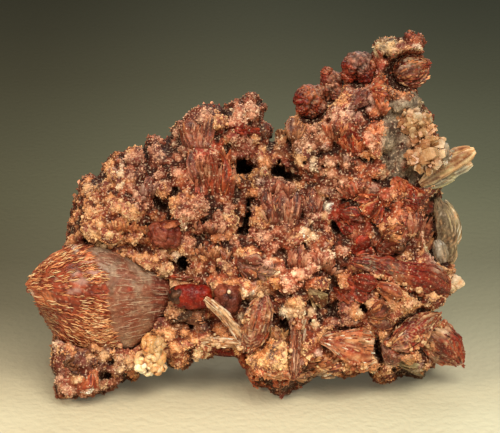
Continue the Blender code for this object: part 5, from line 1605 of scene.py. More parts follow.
def build_lenses():
    heap = Heap()
    lump(heap, 191, 296.5, -18.2, 4.7, 2.8, 2.0, 7, "garnet", 601, 44, 70, 0.07, 0.74)
    lump(heap, 177, 295.5, -18.2, 1.9, 2.0, 1.9, 20, "dark", 602, 18, 26, 0.2, 0.8)
    lump(heap, 203, 295, -18.2, 2.0, 2.3, 1.9, 0, "garnet", 603, 24, 34, 0.10, 0.78)
    lump(heap, 186, 303.5, -18.0, 2.6, 1.0, 1.6, 8, "garnet", 603, 24, 34, 0.10, 0.6)
    finish_piece(heap.made("heulandite_red_center_look", smooth=True), "red", "heulandite_deep_red",
                 "heulandite_red_center")
    heap = Heap()
    brick = np.array([0.40, 0.52, 0.78])
    lump(heap, 165, 235, -15.4, 3.3, 2.8, 2.2, 20, "red", 604, 44, 66, 0.22, brick)
    lump(heap, 156, 229, -15.2, 1.5, 1.3, 1.8, 0, "red", 605, 24, 34, 0.3, brick)
    lump(heap, 169, 224.5, -15.4, 2.4, 0.7, 1.8, -12, "rust", 606, 24, 34, 0.3, 0.7)
    lump(heap, 158, 241, -15.2, 1.5, 1.3, 1.8, 0, "maroon", 607, 24, 34, 0.3, 0.8)
    lump(heap, 174, 241, -15.2, 1.5, 1.2, 1.8, 0, "maroon", 608, 24, 34, 0.3, 0.7)
    lump(heap, 163, 233, -16.6, 1.6, 1.3, 1.0, 30, "red", 609, 24, 34, 0.4, brick * 1.15)
    finish_piece(heap.made("heulandite_red_left_look", smooth=True), "red", "heulandite_red", "heulandite_red_left")
    heap = Heap()
    lump(heap, 228, 300, -18.2, 2.9, 3.5, 2.5, -8, "maroon", 608, 40, 60, 0.14, 0.7)
    lump(heap, 222, 291, -18.0, 1.8, 1.5, 2.1, 0, "maroon", 609, 24, 34, 0.2, 0.85)
    lump(heap, 229, 292, -20.4, 0.40, 0.45, 0.4, 0, "cream", 610, 14, 20, 0.12)
    finish_piece(heap.made("heulandite_dark_center_look", smooth=True), "red", "heulandite_deep_red",
                 "heulandite_dark_center")
    heap = Heap()
    plates = [([(437, 198, 0.6, 3.5), (441, 208, 0.3, 6.5), (445, 222, 0.0, 8.5), (447, 236, 0.0, 9),
                (447, 250, 0.2, 8.5), (448, 262, 0.8, 4.5)], 611, "greygreen", "plate", 0.5, (420, 226, 3.4, "cream", 0.7)),
              ([(445, 200, 1.6, 1.5), (450, 207, 1.4, 3), (455, 217, 1.5, 4), (458, 228, 1.8, 4), (459, 238, 2.2, 3),
                (457, 244, 2.4, 1.5)], 612, "plate", "cream", 0.6, (436, 226, 3.0, "white", 0.8)),
              ([(441, 206, 0.4, 1.5), (447, 213, 0.2, 4), (451, 224, 0.2, 5), (452, 236, 0.6, 5), (452, 246, 1.0, 4),
                (450, 252, 1.4, 1.5)], 613, "greygreen", "plate", 0.5, (430, 230, 3.0, "cream", 0.8)),
              ([(446, 238, 1.2, 2), (450, 247, 1.0, 5), (452, 256, 1.2, 5.5), (451, 264, 1.6, 3)], 614, "plate", "cream",
               0.5, (436, 252, 2.8, "cream", 0.8)),
              ([(436, 240, -1.0, 3), (439, 247, -1.4, 7), (441, 256, -1.4, 8), (443, 263, -1.0, 4)], 615, "grey", "cream",
               0.4, (424, 252, 3.4, "white", 0.5))]
    for list_, seed, low, top, squash, arcs in plates:
        centre, half = stations(list_)
        P, tris, col = spindle_mesh(centre, half, squash, 34, 40, 0.6, 8.0, 0.35,
                                    paint_with(low, top, 1.0, [(438, 250, 7, "grey", 0.6)], arcs, 0.6), seed)
        heap.add(P, tris, col)
    finish_piece(heap.made("stilbite_plates_right_look", smooth=True), "stilbite", "stilbite_grey",
                 "stilbite_plates_right")


# blocky crystals grown together: u, v, y, length, width, thickness in mm, direction in the drawing (degrees),
# tilt towards the viewer (degrees), palette
CLUSTERS = {
    "heulandite_peach_upper": ("peach", "heulandite_peach", [
        (407, 128, -8.0, 3.2, 2.2, 1.6, -60, 10, "peach"), (410, 121, -8.6, 3.0, 2.4, 1.8, -30, 20, "honey"),
        (412, 131, -8.8, 2.4, 1.7, 1.5, -100, 20, "honey"), (409, 117, -8.4, 2.8, 1.6, 1.4, -75, 5, "peach"),
        (416, 122, -8.8, 3.4, 2.4, 1.6, -80, 15, "honey"), (420, 128, -7.6, 3.8, 2.0, 1.4, -85, 0, "cream"),
        (424, 130, -7.2, 4.2, 1.8, 1.3, -100, 5, "cream"), (429, 132, -6.6, 4.6, 1.5, 1.2, -108, 0, "cream"),
        (418, 134, -8.2, 3.0, 2.0, 1.6, -40, 25, "honey"), (426, 120, -7.0, 2.6, 1.8, 1.2, -120, 0, "honey"),
        (404, 124, -8.2, 2.0, 1.4, 1.2, 200, 20, "peach"), (414, 137, -8.6, 2.2, 1.8, 1.6, 60, 20, "peach")]),
    "heulandite_peach_lower": ("peach", "heulandite_peach", [
        (428, 143, -9.2, 3.6, 2.6, 2.0, -20, 15, "honey"), (436, 143, -8.8, 3.0, 2.2, 1.8, 10, 15, "honey"),
        (423, 146, -9.6, 3.0, 2.0, 1.6, -50, 20, "peach"), (418, 158, -10.4, 3.4, 2.4, 2.0, 160, 20, "peach"),
        (426, 156, -10.8, 4.2, 3.0, 2.2, -30, 20, "honey"), (432, 160, -10.2, 3.6, 2.2, 2.0, 40, 15, "peach"),
        (420, 163, -10.4, 3.0, 2.2, 1.8, 110, 15, "honey"), (436, 154, -9.4, 3.2, 2.0, 1.6, -10, 10, "cream"),
        (440, 158, -8.6, 3.6, 1.8, 1.4, -70, 5, "white"), (428, 166, -10.0, 2.8, 1.8, 1.6, 80, 15, "honey"),
        (413, 154, -10.2, 2.4, 1.6, 1.4, 190, 20, "peach"), (446, 152, -8.0, 3.0, 1.6, 1.2, -95, 0, "grey")]),
    "calcite_cluster": ("calcite", "calcite_cream", [
        (149, 342, -16.0, 3.2, 2.6, 2.4, -70, 20, "gold"), (156, 346, -15.6, 3.4, 2.8, 2.6, -60, 20, "honey"),
        (152, 354, -15.4, 3.8, 3.0, 2.8, 100, 25, "cream"), (144, 360, -15.6, 3.4, 3.0, 2.6, 130, 25, "cream"),
        (147, 368, -15.6, 2.8, 2.6, 2.4, 160, 20, "white"), (158, 358, -15.0, 3.0, 2.6, 2.4, 30, 20, "gold"),
        (155, 368, -15.2, 2.8, 2.4, 2.2, 90, 15, "tan"), (141, 366, -16.2, 2.4, 2.2, 2.0, 180, 20, "white"),
        (160, 366, -14.6, 2.4, 2.0, 1.8, 60, 15, "cream"), (150, 348, -16.4, 2.6, 2.4, 2.2, 180, 30, "tan")]),
}


def build_clusters():
    for n, (node, (material, slot_name, parts)) in enumerate(CLUSTERS.items()):
        rng = np.random.default_rng(900 + n)
        heap = Heap()
        rounded = material == "calcite"
        warm = np.array([1.14, 0.98, 0.76])
        for k, (u, v, y, L, W, T, turn, tilt, palette) in enumerate(parts):
            if rounded:
                for m in range(4):
                    f = 0.62 if m == 0 else rng.uniform(0.28, 0.45)
                    du, dv = rng.uniform(-5, 5, 2) * (m > 0)
                    name = palette if m % 3 != 2 else ("gold" if v < 356 else "cream")
                    # the upper crystals are darker: partly painted shadow under the large sheaf, partly a gold-brown
                    # hue
                    lump(heap, u + du, v + dv, y - rng.uniform(0, 1.2) * (m > 0), L * f * 0.84, W * f * 0.94, T * f * 1.1,
                         turn, name, 950 + 7 * k + m, 14, 22, 0.50, (0.68 if v < 358 else 0.80) * warm)
                continue
            for m in range(9):
                a = math.radians(turn + rng.uniform(-75, 75) * (m > 0))
                b = math.radians(tilt + rng.uniform(-35, 45) * (m > 0))
                f = 0.95 if m == 0 else rng.uniform(0.28, 0.66)
                axis = np.array([math.cos(a) * math.cos(b), -math.sin(b), -math.sin(a) * math.cos(b)])
                p = at(u, v, y) - axis * L * f * 0.40 + rng.uniform(-1.5, 1.5, 3) * (m > 0)
                pal = PAL[PALETTE_NAMES.index(palette)]
                heap.add(*crystals(RHOMB if m % 4 == 2 else BLOCK if m % 4 == 0 else BLADE, p[None], axis[None],
                                   np.array([[rng.uniform(-0.7, 0.7), 1.0, rng.uniform(-0.6, 0.7)]]),
                                   np.array([[L * f * 1.08, W * f * 0.92, T * f * rng.uniform(0.6, 1.2)]]), pal[rng.integers(0, 3)][None],
                                   pal[rng.integers(1, 6)][None]))
        finish_piece(heap.made(node + "_look"), material, slot_name, node)


def lump(heap, cu, cv, cy, rx, rz, ry, turn, palette, seed, rows=16, cols=26, rough=0.16, shade=1.0):
    """One rounded closed lump with a knobbly skin."""
    centre = at(cu, cv, cy)
    t = math.radians(turn)
    R = np.array([[math.cos(t), 0, math.sin(t)], [0, 1, 0], [-math.sin(t), 0, math.cos(t)]])
    th = np.linspace(0, math.pi, rows)[1:-1, None]
    ph = np.linspace(0, 2 * math.pi, cols, endpoint=False)[None]
    S = np.stack([np.sin(th) * np.cos(ph), np.cos(th) * np.ones_like(ph), np.sin(th) * np.sin(ph)], -1).reshape(-1, 3)
    S = np.vstack([S, [[0, 1, 0], [0, -1, 0]]])
    q = S * (rx, ry, rz)
    grow = 1 + (domed(cells(q + seed, 1.5, seed)[0]) - 0.6) * rough * 1.6 + (fbm(q, 1.0, 2, seed) - 0.5) * rough * 1.5
    P = centre + (q * grow[:, None]) @ R.T
    k, k2 = np.arange(cols), (np.arange(cols) + 1) % cols
    F = []
    for r in range(rows - 3):
        a, b = r * cols, (r + 1) * cols
        F += [np.stack([a + k, a + k2, b + k2], 1), np.stack([a + k, b + k2, b + k], 1)]
    n, last = len(S) - 2, (rows - 3) * cols
    F += [np.stack([np.full(cols, n), k2, k], 1), np.stack([np.full(cols, n + 1), last + k, last + k2], 1)]
    F = np.vstack(F)
    vol = np.einsum("ij,ij->i", P[F[:, 0]] - centre, np.cross(P[F[:, 1]] - centre, P[F[:, 2]] - centre)).sum()
    if vol < 0:
        F = F[:, ::-1]
    # painted light and shade: proud knobs paler, dips darker, and the half turned away from the front lamps darker
    C = lerp_palette(palette, np.clip(fbm(P, 1.8, 2, seed) * 1.4 - 0.1 + (grow - 1) * 1.5, 0, 1))
    C = C * shade * np.clip(1.0 + (grow - 1) * 3.0 - 0.35 * (S[:, 1] > 0.2), 0.25, 1.3)[:, None]
    heap.add(P, F, C)


# ================================================================ balls of radiating blades

def build_balls():
    heap = Heap()
    round_ball(heap, 310, 101, 1.5, 3.0, 3.5, 3.2, -12, "red", "orange", 41)
    round_ball(heap, 303, 96, 1.0, 1.7, 2.2, 2.4, 20, "deep", "orange", 42)
    for k, (u, v, y, r) in enumerate([(320, 107, 0.6, 1.5), (303, 108, 0.2, 1.5), (318, 93, 1.0, 1.6), (311, 112, 0.4, 1.4),
                                      (300, 100, 0.6, 1.3)]):
        round_ball(heap, u, v, y, r, r * 1.1, r, 0, ("maroon", "red", "rust")[k % 3], ("pink", "orange")[k % 2], 60 + k)
    finish_piece(heap.made("stilbite_ball_outer_look", smooth=True), "stilbite", "stilbite_rust", "stilbite_ball_outer")
    heap = Heap()
    round_ball(heap, 329, 80, 3.0, 1.9, 2.2, 2.4, 8, "red", "pink", 43)
    round_ball(heap, 332, 90, 2.6, 2.3, 2.8, 2.6, 0, "rust", "pink", 44)
    for k, (u, v, y, r) in enumerate([(337, 79, 2.4, 1.3), (324, 90, 2.2, 1.3), (338, 95, 1.6, 1.5), (327, 73, 2.6, 1.2)]):
        round_ball(heap, u, v, y, r, r * 1.1, r, 0, ("maroon", "red")[k % 2], ("pink", "orange")[k % 2], 70 + k)
    finish_piece(heap.made("stilbite_knob_upper_look", smooth=True), "stilbite", "stilbite_rust", "stilbite_knob_upper")
    heap = Heap()
    round_ball(heap, 357, 66, 1.5, 3.1, 3.1, 3.4, 0, "red", "mauve", 46)
    round_ball(heap, 366, 60, 2.4, 1.5, 1.6, 2.2, 0, "maroon", "mauve", 47)
    for k, (u, v, y, r) in enumerate([(349, 75, 0.6, 1.6), (365, 75, 0.8, 1.8), (370, 66, 1.4, 1.5), (347, 65, 0.8, 1.2)]):
        round_ball(heap, u, v, y, r, r, r, 0, ("red", "deep")[k % 2], ("orange", "rust")[k % 2], 80 + k)
    finish_piece(heap.made("stilbite_ball_top_look", smooth=True), "stilbite", "stilbite_rust", "stilbite_ball_top")


def round_ball(heap, cu, cv, cy, rx, rz, ry, turn, low, high, seed):
    """A ball of fine radiating blades: knobbly skin, painted paler on the upper right as if lit from there."""
    part = Heap()
    fine = rx > 2.2
    lump(part, cu, cv, cy, rx, rz, ry, turn, low, seed, 40 if fine else 20, 60 if fine else 30, 0.10 if fine else 0.2)
    P, F = part.v[0], part.f[0]
    d = unit(P - at(cu, cv, cy))
    near, next_, who = cells(d * rx * 2.2 + seed, 1.0, seed)
    # blades run up from the lower left and end in a curled rim
    axis = unit(np.array([0.55, -0.80, -0.25]))
    side = unit(np.cross(axis, [0.0, 0.0, 1.0]))
    wide_, turn_ = np.arccos(np.clip(d @ axis, -1, 1)), np.arctan2(d @ side, d @ np.cross(axis, side))
    run = np.sin(turn_ * 11 + wide_ * 3.0 + fbm(P, 1.4, 2, seed + 9) * 5.0)
    fold = np.exp(-((wide_ - 0.72 - 0.16 * np.sin(turn_ + seed)) / 0.15) ** 2) * np.clip(np.cos(turn_ - 1.2) + 0.75, 0, 1) * fine
    P = P + d * (np.clip(next_ - near, 0, 0.5) * (0.16 if fine else 0.26) + run * 0.11 - 0.75 * fold)[:, None]
    # painted light: the side turned to the upper right is paler
    light = np.clip(d @ np.array([0.45, -0.25, 0.85]) * 0.9 + (fbm(P, 1.5, 2, seed + 5) - 0.5) * 1.6, 0, 1)
    C = mix(lerp_palette(low, who), lerp_palette(high, np.clip(who * 0.8 + 0.1, 0, 1)), light)
    # painted shade: darker in the grooves between blades, in the troughs of the ripples and in the fold of the curled
    # rim
    C = mix(C * 0.35, C, np.clip((next_ - near) * 4, 0, 1))
    C = C * (np.clip(0.80 + 0.32 * run, 0.35, 1.15) * (1 - 0.75 * fold))[:, None]
    heap.add(P, F, C)


# ================================================================ smaller sheaves
def paint_with(low, crest, share=0.6, spots=(), arcs=None, crease_shade=1.0):
    def paint(i, P):
        lows = lerp_palette(low, i["who"] * 0.9)
        tops = lerp_palette(crest, np.clip(fbm(P, 1.6, 2, 81) * 1.4 - 0.2, 0, 1))
        up = np.clip((i["ridge"] - 0.25) * 2.6, 0, 1) * np.clip(fbm(P, 2.6, 2, 82) * 2.4 - 0.9 + share, 0, 1)
        c = mix(lows, tops, up)
        # painted shade: dark red-brown in the creases between ridges
        c = mix(linear((58, 24, 12)), c, 1 - crease_shade * (1 - np.clip(i["ridge"] * 5, 0, 1)))
        for su, sv, reach, palette, strength in spots:
            w = np.exp(-((i["u"] - su) ** 2 + (i["v"] - sv) ** 2) / reach ** 2)
            c = mix(c, lerp_palette(palette, i["who"]), w * strength)
        if arcs:
            au, av, pitch, palette, strength = arcs
            d = np.hypot(i["u"] - au, i["v"] - av) / pitch + (fbm(P, 1.8, 2, 83) - 0.5) * 1.8
            band = np.clip(1.7 - np.abs(d % 1 - 0.5) * 8, 0, 1) * np.clip(fbm(P, 2.2, 2, 84) * 4 - 1.4, 0, 1)
            c = mix(c, lerp_palette(palette, np.clip(fbm(P, 0.9, 1, 85) * 1.2, 0, 1)), band * strength)
        return np.clip(c, 0.002, 1)
    return paint


def dress(heap, P, n_s, n_a, count, length, wide, high, palettes, rng):
    """Blades that lie along a spindle, on the side that is seen."""
    G = P[:n_s * n_a].reshape(n_s, n_a, 3)
    line = G.mean(1)
    i = rng.integers(1, n_s - 4, count * 3)
    k = rng.integers(0, n_a, count * 3)
    p = G[i, k]
    axis = unit(G[i + 3, k] - p)
    n = p - line[i]
    n = unit(n - (n * axis).sum(1)[:, None] * axis)
    ok = np.flatnonzero(n @ np.array([0, -0.95, 0.3]) > -0.15)[:count]
    p, axis, n = p[ok], axis[ok], n[ok]
    m = len(ok)
    size = np.stack([rng.uniform(0.4, 0.85, m) * length, rng.uniform(0.5, 0.9, m) * wide,
                     rng.uniform(0.5, 0.9, m) * high], 1)
    names = [PALETTE_NAMES.index(x) for x in palettes]
    own = PAL[np.array(names)[rng.integers(0, len(names), m)], rng.integers(0, 5, m)]
    axis = unit(axis + n * rng.uniform(-0.02, 0.09, (m, 1)) + rng.normal(0, 0.04, (m, 3)))
    # roots darker: partly painted shade where the blades meet the body, partly a deeper hue
    heap.add(*crystals(BLADE, p - n * size[:, 2:] * 0.45, axis, n, size, own * 0.5,
                       np.clip(own * rng.normal(1.0, 0.1, (m, 1)), 0, 1)))


def sprinkle(heap, P, n_s, n_a, count, palettes, rng):
    """Small crystals that stand on a spindle, on the side that is seen."""
    G = P[:n_s * n_a].reshape(n_s, n_a, 3)
    line = G.mean(1)
    i, k = rng.integers(2, n_s - 2, count * 2), rng.integers(0, n_a, count * 2)
    p = G[i, k]
    n = unit(p - line[i])
    ok = np.flatnonzero(n @ np.array([0, -0.95, 0.3]) > 0.0)[:count]
    p, n, m = p[ok], n[ok], len(ok)
    size = rng.uniform(0.25, 0.55, (m, 1)) * rng.uniform(0.7, 1.2, (m, 3))
    names = [PALETTE_NAMES.index(x) for x in palettes]
    own = PAL[np.array(names)[rng.integers(0, len(names), m)], rng.integers(1, 6, m)]
    # roots darker: partly painted shade where the crystals meet the body, partly a deeper hue
    heap.add(*crystals(RHOMB, p - n * size[:, :1] * 0.4, unit(n + rng.normal(0, 0.3, (m, 3))), rng.normal(0, 1, (m, 3)),
                       size, own * 0.6, np.clip(own * rng.normal(1.0, 0.12, (m, 1)), 0, 1)))


SHEAVES = {  # node: material, slot, stations, squash, across, along, height, paint
    "stilbite_barrel_crown": ("stilbite", "stilbite_red", [
        (395, 78, 3.0, 4), (400, 76, 3.0, 11), (407, 73, 2.6, 15.5), (414, 70, 2.6, 16.5), (421, 67, 3.0, 13.5),
        (427, 65, 3.2, 6)], 0.75, 0.9, 2.4, 0.7,
        # grey and mauve on the top of the crown: painted sheen
        paint_with("maroon", "rust", 0.5, [(406, 60, 9, "grey", 0.9), (402, 66, 7, "mauve", 0.8),
                                          (420, 60, 5, "cream", 0.6)],
                   (408, 52, 3.4, "gold", 1.0))),
    "stilbite_sheaf_right": ("stilbite", "stilbite_red", [
        (350, 261, -18.5, 3), (366, 263, -18.5, 8.5), (384, 268, -18.2, 11), (404, 274, -17.5, 15),
        (422, 279, -16.0, 18), (434, 283, -14.0, 16.5), (443, 288, -12.0, 11), (449, 292, -11, 4)], 0.62, 1.0, 6.0, 0.6,
        # grey slate spots on the upper side: painted sheen
        paint_with("deep", "red", 0.2, [(370, 264, 8, "slate", 1.0), (393, 271, 7, "slate", 0.8),
                                            (431, 281, 13, "garnet", 0.9), (414, 273, 9, "garnet", 0.8),
                                            (400, 285, 10, "gold", 0.8), (440, 268, 8, "grey", 0.7)],
                   (434, 284, 3.2, "rust", 0.9))),
    "stilbite_bow_lower_right": ("stilbite", "stilbite_red", [
        (390, 347, -18.5, 5), (400, 341, -18.5, 12), (411, 333, -17.2, 14), (423, 325, -15.5, 13),
        (432, 319, -13.5, 9), (438, 315, -12.5, 3)], 0.6, 0.9, 4.0, 0.6,
        paint_with("deep", "gold", 0.35, [(427, 315, 7, "cream", 0.9), (429, 340, 7, "gold", 0.8),
                                        (400, 352, 8, "mauve", 0.8), (415, 328, 9, "garnet", 0.9)],
                   (414, 334, 3.6, "cream", 0.5))),
    "stilbite_wedge_lower_right": ("stilbite", "stilbite_red", [
        (421, 333, -9, 9), (430, 336, -8.5, 15), (439, 341, -8, 19), (448, 348, -8, 18), (455, 355, -7.5, 12.5),
        (460, 361, -7, 6), (462, 364, -7, 2)], 0.62, 0.8, 4.5, 0.6,
        paint_with("deep", "rust", 0.5, [(436, 326, 9, "gold", 0.9), (444, 330, 6, "cream", 0.7),
                                        (455, 352, 8, "red", 0.8), (452, 366, 6, "pink", 0.8),
                                        (434, 360, 7, "greygreen", 0.8), (430, 346, 7, "gold", 0.7)],
                   (424, 352, 4.0, "tan", 0.8))),
    "stilbite_fan_lower_center": ("stilbite", "stilbite_rust", [
        (320, 340, -19, 4), (338, 343, -19.3, 12), (354, 347, -18.8, 19), (366, 350, -17.8, 22),
        (373, 351, -17, 18)], 0.5, 0.95, 9.0, 0.6,
        paint_with("orange", "cream", 1.0, [(328, 348, 8, "mauve", 0.6), (352, 351, 7, "red", 0.9),
                                            (340, 340, 6, "red", 0.8), (366, 360, 6, "red", 0.7),
                                            (370, 338, 6, "cream", 0.8)])),
    "stilbite_sheaf_center": ("stilbite", "stilbite_rust", [
        (265, 295, -20.5, 4), (262, 304, -21, 10.5), (259, 316, -21.3, 13.5), (256, 329, -21.2, 13.5),
        (252, 342, -20.6, 11), (248, 352, -20, 4)], 0.6, 0.85, 4.0, 0.6,
        paint_with("red", "pink", 0.45, [(250, 334, 6, "mauve", 0.6), (262, 308, 8, "red", 0.6),
                                         (244, 316, 7, "cream", 0.8), (252, 300, 6, "gold", 0.8),
                                         (270, 316, 4, "cream", 0.8), (256, 322, 6, "orange", 0.5)],
                   (250, 334, 3.6, "cream", 0.65))),
}


SHEAVES["stilbite_blade_vertical"] = ("stilbite", "stilbite_red", [
    (296, 314, -21.5, 2.5), (296, 320, -21.2, 4.5), (295.5, 335, -21.4, 5), (295, 352, -21.6, 5.2),
    (294.5, 368, -21.6, 5), (294, 375, -21.4, 3)], 0.9, 0.7, 12.0, 0.5, paint_with("pink", "white", 1.0, crease_shade=0.8))


DRESS = [("maroon", "gold", "red", "orange"), ("deep", "red", "deep", "orange"), ("red", "gold", "deep", "cream"),
         ("mauve", "red", "pink", "maroon"), ("orange", "cream", "red", "white"), ("rust", "cream", "gold", "mauve"),
         ("pink", "maroon", "mauve", "rust")]


def build_cross():
    heap = Heap()
    arms = [([(205, 298, -20.0, 3), (211, 303, -20.2, 4.6), (224, 315, -20.4, 4.8), (236, 330, -20.4, 5.4),
              (243, 342, -20.0, 4)], 71), ([(201, 342, -19.8, 3), (206, 342, -20.2, 5), (220, 342.5, -20.4, 5.4),
                                            (234, 343, -20.4, 5), (243, 345, -20, 3)], 72)]
    for list_, seed in arms:
        centre, half = stations(list_)
        P, tris, col = spindle_mesh(centre, half, 0.85, 50, 56, 0.6, 10.0, 0.6, paint_with("cream", "white", 0.9, crease_shade=0.8), seed)
        heap.add(P, tris, col)
        SHEAF_SKIN.append(P[P[:, 1] < P[:, 1].mean()])
        dress(heap, P, 50, 56, 90, 2.6, 0.4, 0.4, ("cream", "white", "gold", "cream"), np.random.default_rng(seed))
    finish_piece(heap.made("stilbite_blade_cross_look", smooth=True), "stilbite", "stilbite_tan", "stilbite_blade_cross")


def build_sheaves():
    build_cross()
    for k, (node, (material, slot_name, list_, squash, across, along, height, paint)) in enumerate(SHEAVES.items()):
        centre, half = stations(list_)
        n_s, n_a = ((64, 84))
        P, tris, col = spindle_mesh(centre, half, squash, n_s, n_a, across * 0.85, along * 1.5, height * 1.5, paint,
                                    300 + 11 * k, fine=0.15)
        heap = Heap()
        heap.add(P, tris, col)
        SHEAF_SKIN.append(P[P[:, 1] < P[:, 1].mean()])
        dress(heap, P, n_s, n_a, 200, 2.6, 0.45, 0.45, DRESS[k % len(DRESS)], np.random.default_rng(40 + k))
        sprinkle(heap, P, n_s, n_a, 70, ("gold", "tan", "pink", "rust"), np.random.default_rng(90 + k))
        finish_piece(heap.made(node + "_look", smooth=True), material, slot_name, node)


# ================================================================ the fin: a pack of thin blades
def build_fin():
    heap = Heap()
    sheets = [([(420, 185, -7.4, 3.5), (429, 179, -7.2, 7), (440, 171, -6.6, 9.5), (452, 163, -5.8, 10.5),
                (463, 156, -5.2, 9), (470, 152.5, -4.9, 6.5), (475, 150, -4.7, 3)], 0.34, "tan", "plate", 61),
              ([(424, 188, -7.0, 3), (436, 181, -6.7, 6), (448, 175, -6.1, 6.5), (458, 170, -5.5, 5.5),
                (466, 166, -5.0, 4.5), (472, 163, -4.7, 2.5)], 0.40, "grey", "cream", 62),
              ([(428, 188, -6.0, 3), (438, 184, -5.8, 4.5), (447, 180, -5.4, 4.5), (454, 177.5, -5.1, 2.5)], 0.45,
               "plate", "cream", 64),
              ([(436, 168, -6.6, 2), (446, 158, -6.4, 4), (456, 151.5, -5.8, 4.5), (465, 149, -5.2, 3.5),
                (470, 148, -4.8, 2)], 0.42, "tan", "cream", 63)]
    for list_, squash, low, top, seed in sheets:
        centre, half = stations(list_)
        P, tris, col = spindle_mesh(centre, half, squash, 44, 46, 0.55, 16.0, 0.34, paint_with(low, top, 1.4, [(474, 150, 6, "cream", 0.8), (470, 164, 4, "cream", 0.8), (453, 177, 4, "plate", 0.8),
                                                                  (432, 178, 8, "grey", 0.5)], None, 0.35), seed)
        heap.add(P, tris, np.clip(col * (1.24, 1.42, 1.44), 0, 1))
    finish_piece(heap.made("stilbite_fin_look", smooth=True), "stilbite", "stilbite_grey", "stilbite_fin")


# ================================================================ sprays and combs of blades in the crust
# root line (u0, v0, u1, v1), direction from, to (degrees, 0 right, 90 down), length min, max, blades, width (all in
# drawing units), lift in mm, palette at the root, palette at the tip
SPRAYS = [
    (378, 196, 382, 200, 95, 185, 18, 27, 34, 3.2, 1.6, "red", "orange"),
    (398, 196, 402, 202, 6, 26, 30, 42, 12, 4.0, 1.6, "deep", "rust"),
    (380, 234, 382, 240, -36, 16, 16, 26, 20, 3.0, 1.4, "rust", "gold"),
    (334, 208, 336, 218, -20, 50, 16, 26, 22, 3.0, 1.2, "deep", "rust"),
    (344, 276, 347, 284, -8, 52, 20, 32, 26, 3.2, 1.4, "deep", "rust"),
    (371, 280, 374, 288, 0, 42, 20, 30, 22, 3.0, 1.4, "red", "gold"),
    (306, 286, 310, 292, 16, 74, 16, 24, 20, 3.0, 1.2, "brown", "plate"),
    (332, 286, 336, 292, 6, 62, 14, 22, 20, 3.0, 1.2, "red", "rust"),
    (268, 228, 296, 230, -104, -78, 24, 42, 40, 2.8, 1.2, "maroon", "pink"),
    (272, 196, 292, 198, -100, -80, 10, 22, 20, 2.8, 1.2, "maroon", "pink"),
    (196, 194, 232, 198, -104, -76, 26, 48, 56, 3.0, 1.0, "red", "pink"),
    (184, 150, 204, 152, -110, -70, 16, 34, 30, 2.8, 0.9, "maroon", "pink"),
    (258, 374, 300, 378, -10, 24, 9, 16, 30, 2.6, 0.9, "orange", "cream"),
    (140, 199, 153, 200, -92, -64, 14, 24, 16, 3.0, 1.2, "maroon", "mauve"),
    (368, 92, 374, 92, -70, 20, 12, 20, 22, 2.6, 1.0, "red", "orange"),
    (348, 112, 352, 108, -66, -22, 14, 24, 16, 2.6, 0.9, "maroon", "mauve"),
    (290, 142, 300, 142, -125, -62, 14, 26, 26, 2.6, 1.4, "brown", "tan"),
    (276, 146, 284, 146, -110, -72, 10, 18, 10, 4.0, 1.4, "tan", "cream"),
    (234, 258, 238, 264, -10, 56, 16, 26, 20, 3.2, 1.0, "maroon", "mauve"),
    (250, 270, 254, 274, -20, 30, 16, 24, 14, 3.2, 1.0, "maroon", "mauve"),
    (246, 301, 252, 300, -62, -18, 12, 20, 10, 3.4, 1.0, "tan", "white"),
    (291, 270, 307, 270, -104, -76, 16, 26, 22, 3.0, 1.2, "rust", "pink"),
    (410, 238, 426, 240, -96, -58, 18, 30, 26, 3.6, 1.2, "rust", "pink"),
    (416, 252, 424, 254, -84, -46, 16, 26, 14, 3.4, 1.0, "rust", "gold"),
    (374, 252, 378, 256, -60, 30, 14, 24, 28, 2.8, 1.2, "maroon", "rust"),
    (350, 252, 354, 256, -64, 6, 14, 24, 22, 3.0, 1.2, "deep", "rust"),
    (364, 316, 368, 322, -46, 30, 14, 26, 24, 3.0, 1.2, "maroon", "gold"),
    (380, 340, 382, 348, -16, 62, 14, 24, 22, 3.0, 1.2, "maroon", "mauve"),
    (78, 393, 98, 391, -100, -74, 10, 18, 12, 3.4, 1.0, "red", "orange"),
    (60, 364, 70, 372, -60, 20, 10, 18, 14, 3.0, 0.9, "dark", "brown"),
    (203, 348, 206, 352, -6, 10, 24, 36, 8, 3.4, 0.8, "deep", "red"),
    (394, 361, 404, 366, 10, 30, 20, 28, 8, 5.0, 0.6, "greygreen", "plate"),
    (236, 354, 252, 382, 10, 58, 7, 12, 26, 3.0, 0.9, "red", "orange"),
    (228, 130, 252, 132, -30, 20, 8, 14, 18, 2.8, 0.7, "deep", "red"),
    (224, 164, 232, 190, -110, -74, 14, 26, 16, 2.8, 0.9, "red", "orange"),
    (344, 152, 360, 156, -130, -50, 14, 24, 34, 2.8, 1.0, "red", "orange"),
    (330, 140, 342, 142, -120, -60, 14, 24, 22, 2.8, 1.0, "pink", "orange"),
    (300, 210, 318, 216, -110, -60, 14, 26, 24, 2.8, 1.0, "maroon", "pink"),
    (376, 100, 384, 118, -120, -50, 10, 18, 22, 2.8, 0.9, "rust", "orange"),
    (392, 176, 412, 186, 20, 110, 10, 20, 26, 3.0, 1.1, "red", "orange"),
    (346, 196, 366, 200, -150, -60, 12, 20, 24, 3.0, 1.1, "red", "pink"),
    (318, 268, 330, 276, -110, -30, 12, 20, 20, 3.0, 1.1, "rust", "pink"),
    (306, 362, 330, 368, -40, 40, 10, 18, 20, 3.0, 1.0, "rust", "gold"),
    (262, 338, 286, 344, -130, -50, 10, 18, 22, 2.8, 1.0, "brown", "ochre"),
    (310, 372, 322, 378, -30, 10, 10, 18, 10, 3.0, 0.8, "tan", "white"),
    (302, 338, 306, 362, -95, -85, 20, 26, 3, 1.6, 1.0, "cream", "white"),
    (112, 232, 150, 236, -140, -40, 9, 16, 30, 3.0, 1.0, "rust", "gold"),
    (196, 232, 222, 236, -130, -50, 9, 16, 24, 3.0, 1.0, "maroon", "pink"),
    (196, 256, 226, 262, -130, -50, 9, 16, 24, 3.0, 1.0, "rust", "tan"),
]


